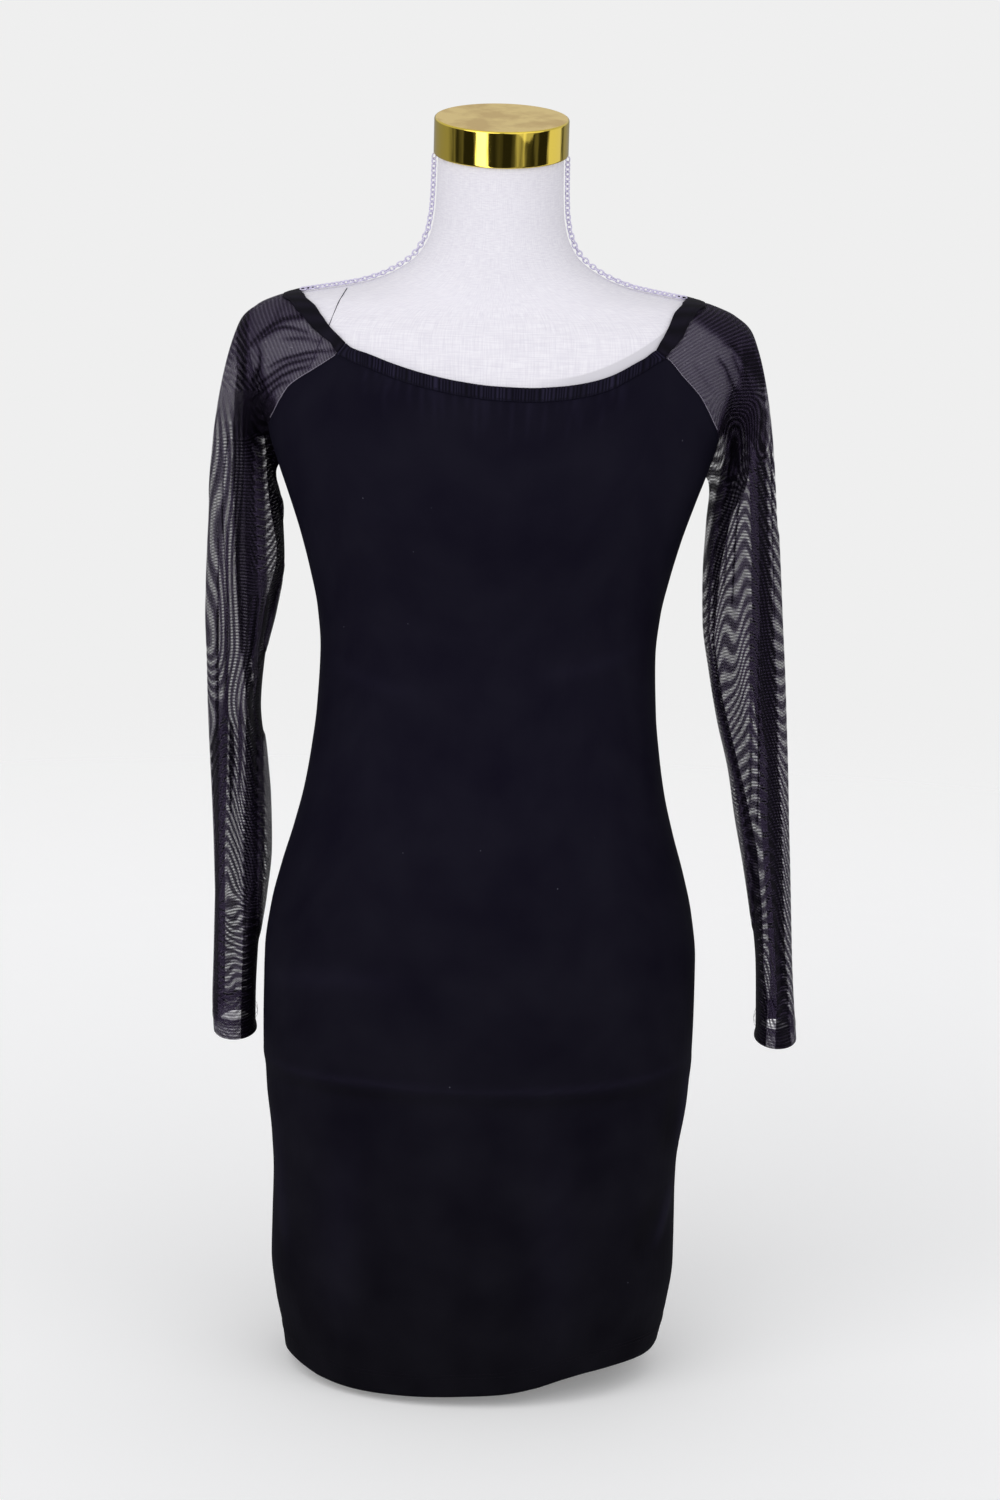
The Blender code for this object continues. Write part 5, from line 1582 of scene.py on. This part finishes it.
# Studio
# The plain pale floor, the soft light of a photographer's studio, and the camera, which looks
# down a little from the front.
PALE_GREY, PAPER_WHITE, FLOOR_NEAR, FLOOR_FAR = "#efefef", "#f6f6f6", 1.2, 2.6
CAMERA_AT, CAMERA_PITCH, CAMERA_ROLL = (0.0116, -3.6, 1.3556), 13.2, 1.553
CAMERA_LENS, CAMERA_SENSOR = 111.46, 36.0

# Seamless paper: matt pale grey. It fades out round the object, so that no horizon shows.
paper, tree, shader = new_material(
    "Seamless paper",
    {"Base Color": linear(PAPER_WHITE), "Roughness": 1.0, "Specular IOR Level": 0.0,
     "Emission Color": (1, 1, 1, 1), "Emission Strength": 0.17},
)
place = add_node(tree, "ShaderNodeTexCoord").outputs["Object"]
far = add_node(tree, "ShaderNodeVectorMath", {0: place}, operation="LENGTH").outputs["Value"]
fade = add_node(
    tree, "ShaderNodeMapRange", {"Value": far, 1: FLOOR_NEAR, 2: FLOOR_FAR, 3: 1.0, 4: 0.0},
    interpolation_type="SMOOTHSTEP",
).outputs[0]
tree.links.new(fade, shader.inputs["Alpha"])
bpy.ops.mesh.primitive_circle_add(vertices=96, radius=FLOOR_FAR, fill_type="NGON")
floor = bpy.context.object
floor.name = "studio_floor"
floor.data.materials.append(paper)
floor.visible_glossy = False

world = bpy.data.worlds.new("Studio")
bpy.context.scene.world = world
world.use_nodes = True
tree = world.node_tree
tree.nodes.clear()
rays = add_node(tree, "ShaderNodeLightPath").outputs
way = add_node(tree, "ShaderNodeTexCoord").outputs["Generated"]
split = add_node(tree, "ShaderNodeSeparateXYZ", {0: way}).outputs
turn = add_node(
    tree, "ShaderNodeMath", {0: split["X"], 1: split["Y"]}, operation="ARCTAN2"
).outputs[0]
share = add_node(
    tree, "ShaderNodeMapRange", {"Value": turn, 1: -math.pi, 2: math.pi}
).outputs[0]
bands = add_node(tree, "ShaderNodeValToRGB", {"Fac": share})
# What stands round the studio, as the polished cap shows it: the way there, in degrees from
# the way to the camera towards the viewer's right, and how bright it is
SURROUNDINGS = (
    (-104, 0.34), (-96, 0.22), (-92, 0.10), (-88, 0.20), (-82, 0.02), (-70, 0.12), (-66, 0.02),
    (-50, 0.02), (-46, 0.30), (-44, 3.60), (-26, 4.00), (-22, 0.05), (-10, 0.02), (-4, 0.07),
    (4, 0.02), (18, 0.02), (25, 0.12), (30, 0.55), (35, 0.22), (41, 0.60), (46, 0.06),
    (58, 0.02), (64, 0.14), (68, 0.02), (86, 0.02), (91, 0.90), (122, 0.85), (127, 0.04),
    (136, 0.35), (180, 0.30),
)
# How bright it is ahead, above, and for the light that matt surfaces gather
AHEAD, OVERHEAD, GATHERED = 0.05, (0.66, 0.66, 0.66, 1), (0.55, 0.55, 0.56, 1)
ramp = bands.color_ramp
ramp.interpolation = "LINEAR"
# The camera stands towards -Y, where the ramp begins and ends
for element in ramp.elements:
    element.color = (AHEAD, AHEAD, AHEAD, 1)
for degrees, level in SURROUNDINGS:
    ramp.elements.new((-degrees % 360) / 360).color = (level, level, level, 1)
upper = add_node(tree, "ShaderNodeMapRange", {"Value": split["Z"], 1: 0.10, 2: 0.35}).outputs[0]
mirrored = add_node(
    tree, "ShaderNodeMix", {0: upper, 6: bands.outputs[0], 7: OVERHEAD}, data_type="RGBA"
).outputs[2]
fill = add_node(
    tree, "ShaderNodeMix",
    {0: rays["Is Glossy Ray"], 6: GATHERED, 7: mirrored}, data_type="RGBA",
).outputs[2]
seen = add_node(
    tree, "ShaderNodeMix", {0: rays["Is Camera Ray"], 6: fill, 7: linear(PALE_GREY)},
    data_type="RGBA",
).outputs[2]
light = add_node(tree, "ShaderNodeBackground", {"Color": seen, "Strength": 1.0})
add_node(tree, "ShaderNodeOutputWorld", {"Surface": light.outputs[0]})

# Three wide soft suns, with their strength, their width and their turn in degrees
for name, strength, spread, aim in (
    ("key_light", 1.00, 60, (66, 0, -36)), ("fill_light", 0.60, 70, (70, 0, 42)),
    ("top_light", 0.15, 60, (8, 0, 0)),
):
    lamp = bpy.data.lights.new(name, "SUN")
    lamp.energy, lamp.angle = strength, math.radians(spread)
    lamp_object = bpy.data.objects.new(name, lamp)
    lamp_object.rotation_euler = Euler([math.radians(t) for t in aim])
    bpy.context.scene.collection.objects.link(lamp_object)

camera = bpy.data.cameras.new("camera")
camera.lens, camera.sensor_width = CAMERA_LENS, CAMERA_SENSOR
camera_object = bpy.data.objects.new("camera", camera)
camera_object.matrix_world = (
    Matrix.Translation(CAMERA_AT)
    @ Matrix.Rotation(math.radians(90 - CAMERA_PITCH), 4, "X")
    @ Matrix.Rotation(math.radians(CAMERA_ROLL), 4, "Z")
)
bpy.context.scene.collection.objects.link(camera_object)
bpy.context.scene.camera = camera_object
bpy.context.scene.view_settings.view_transform = "Standard"
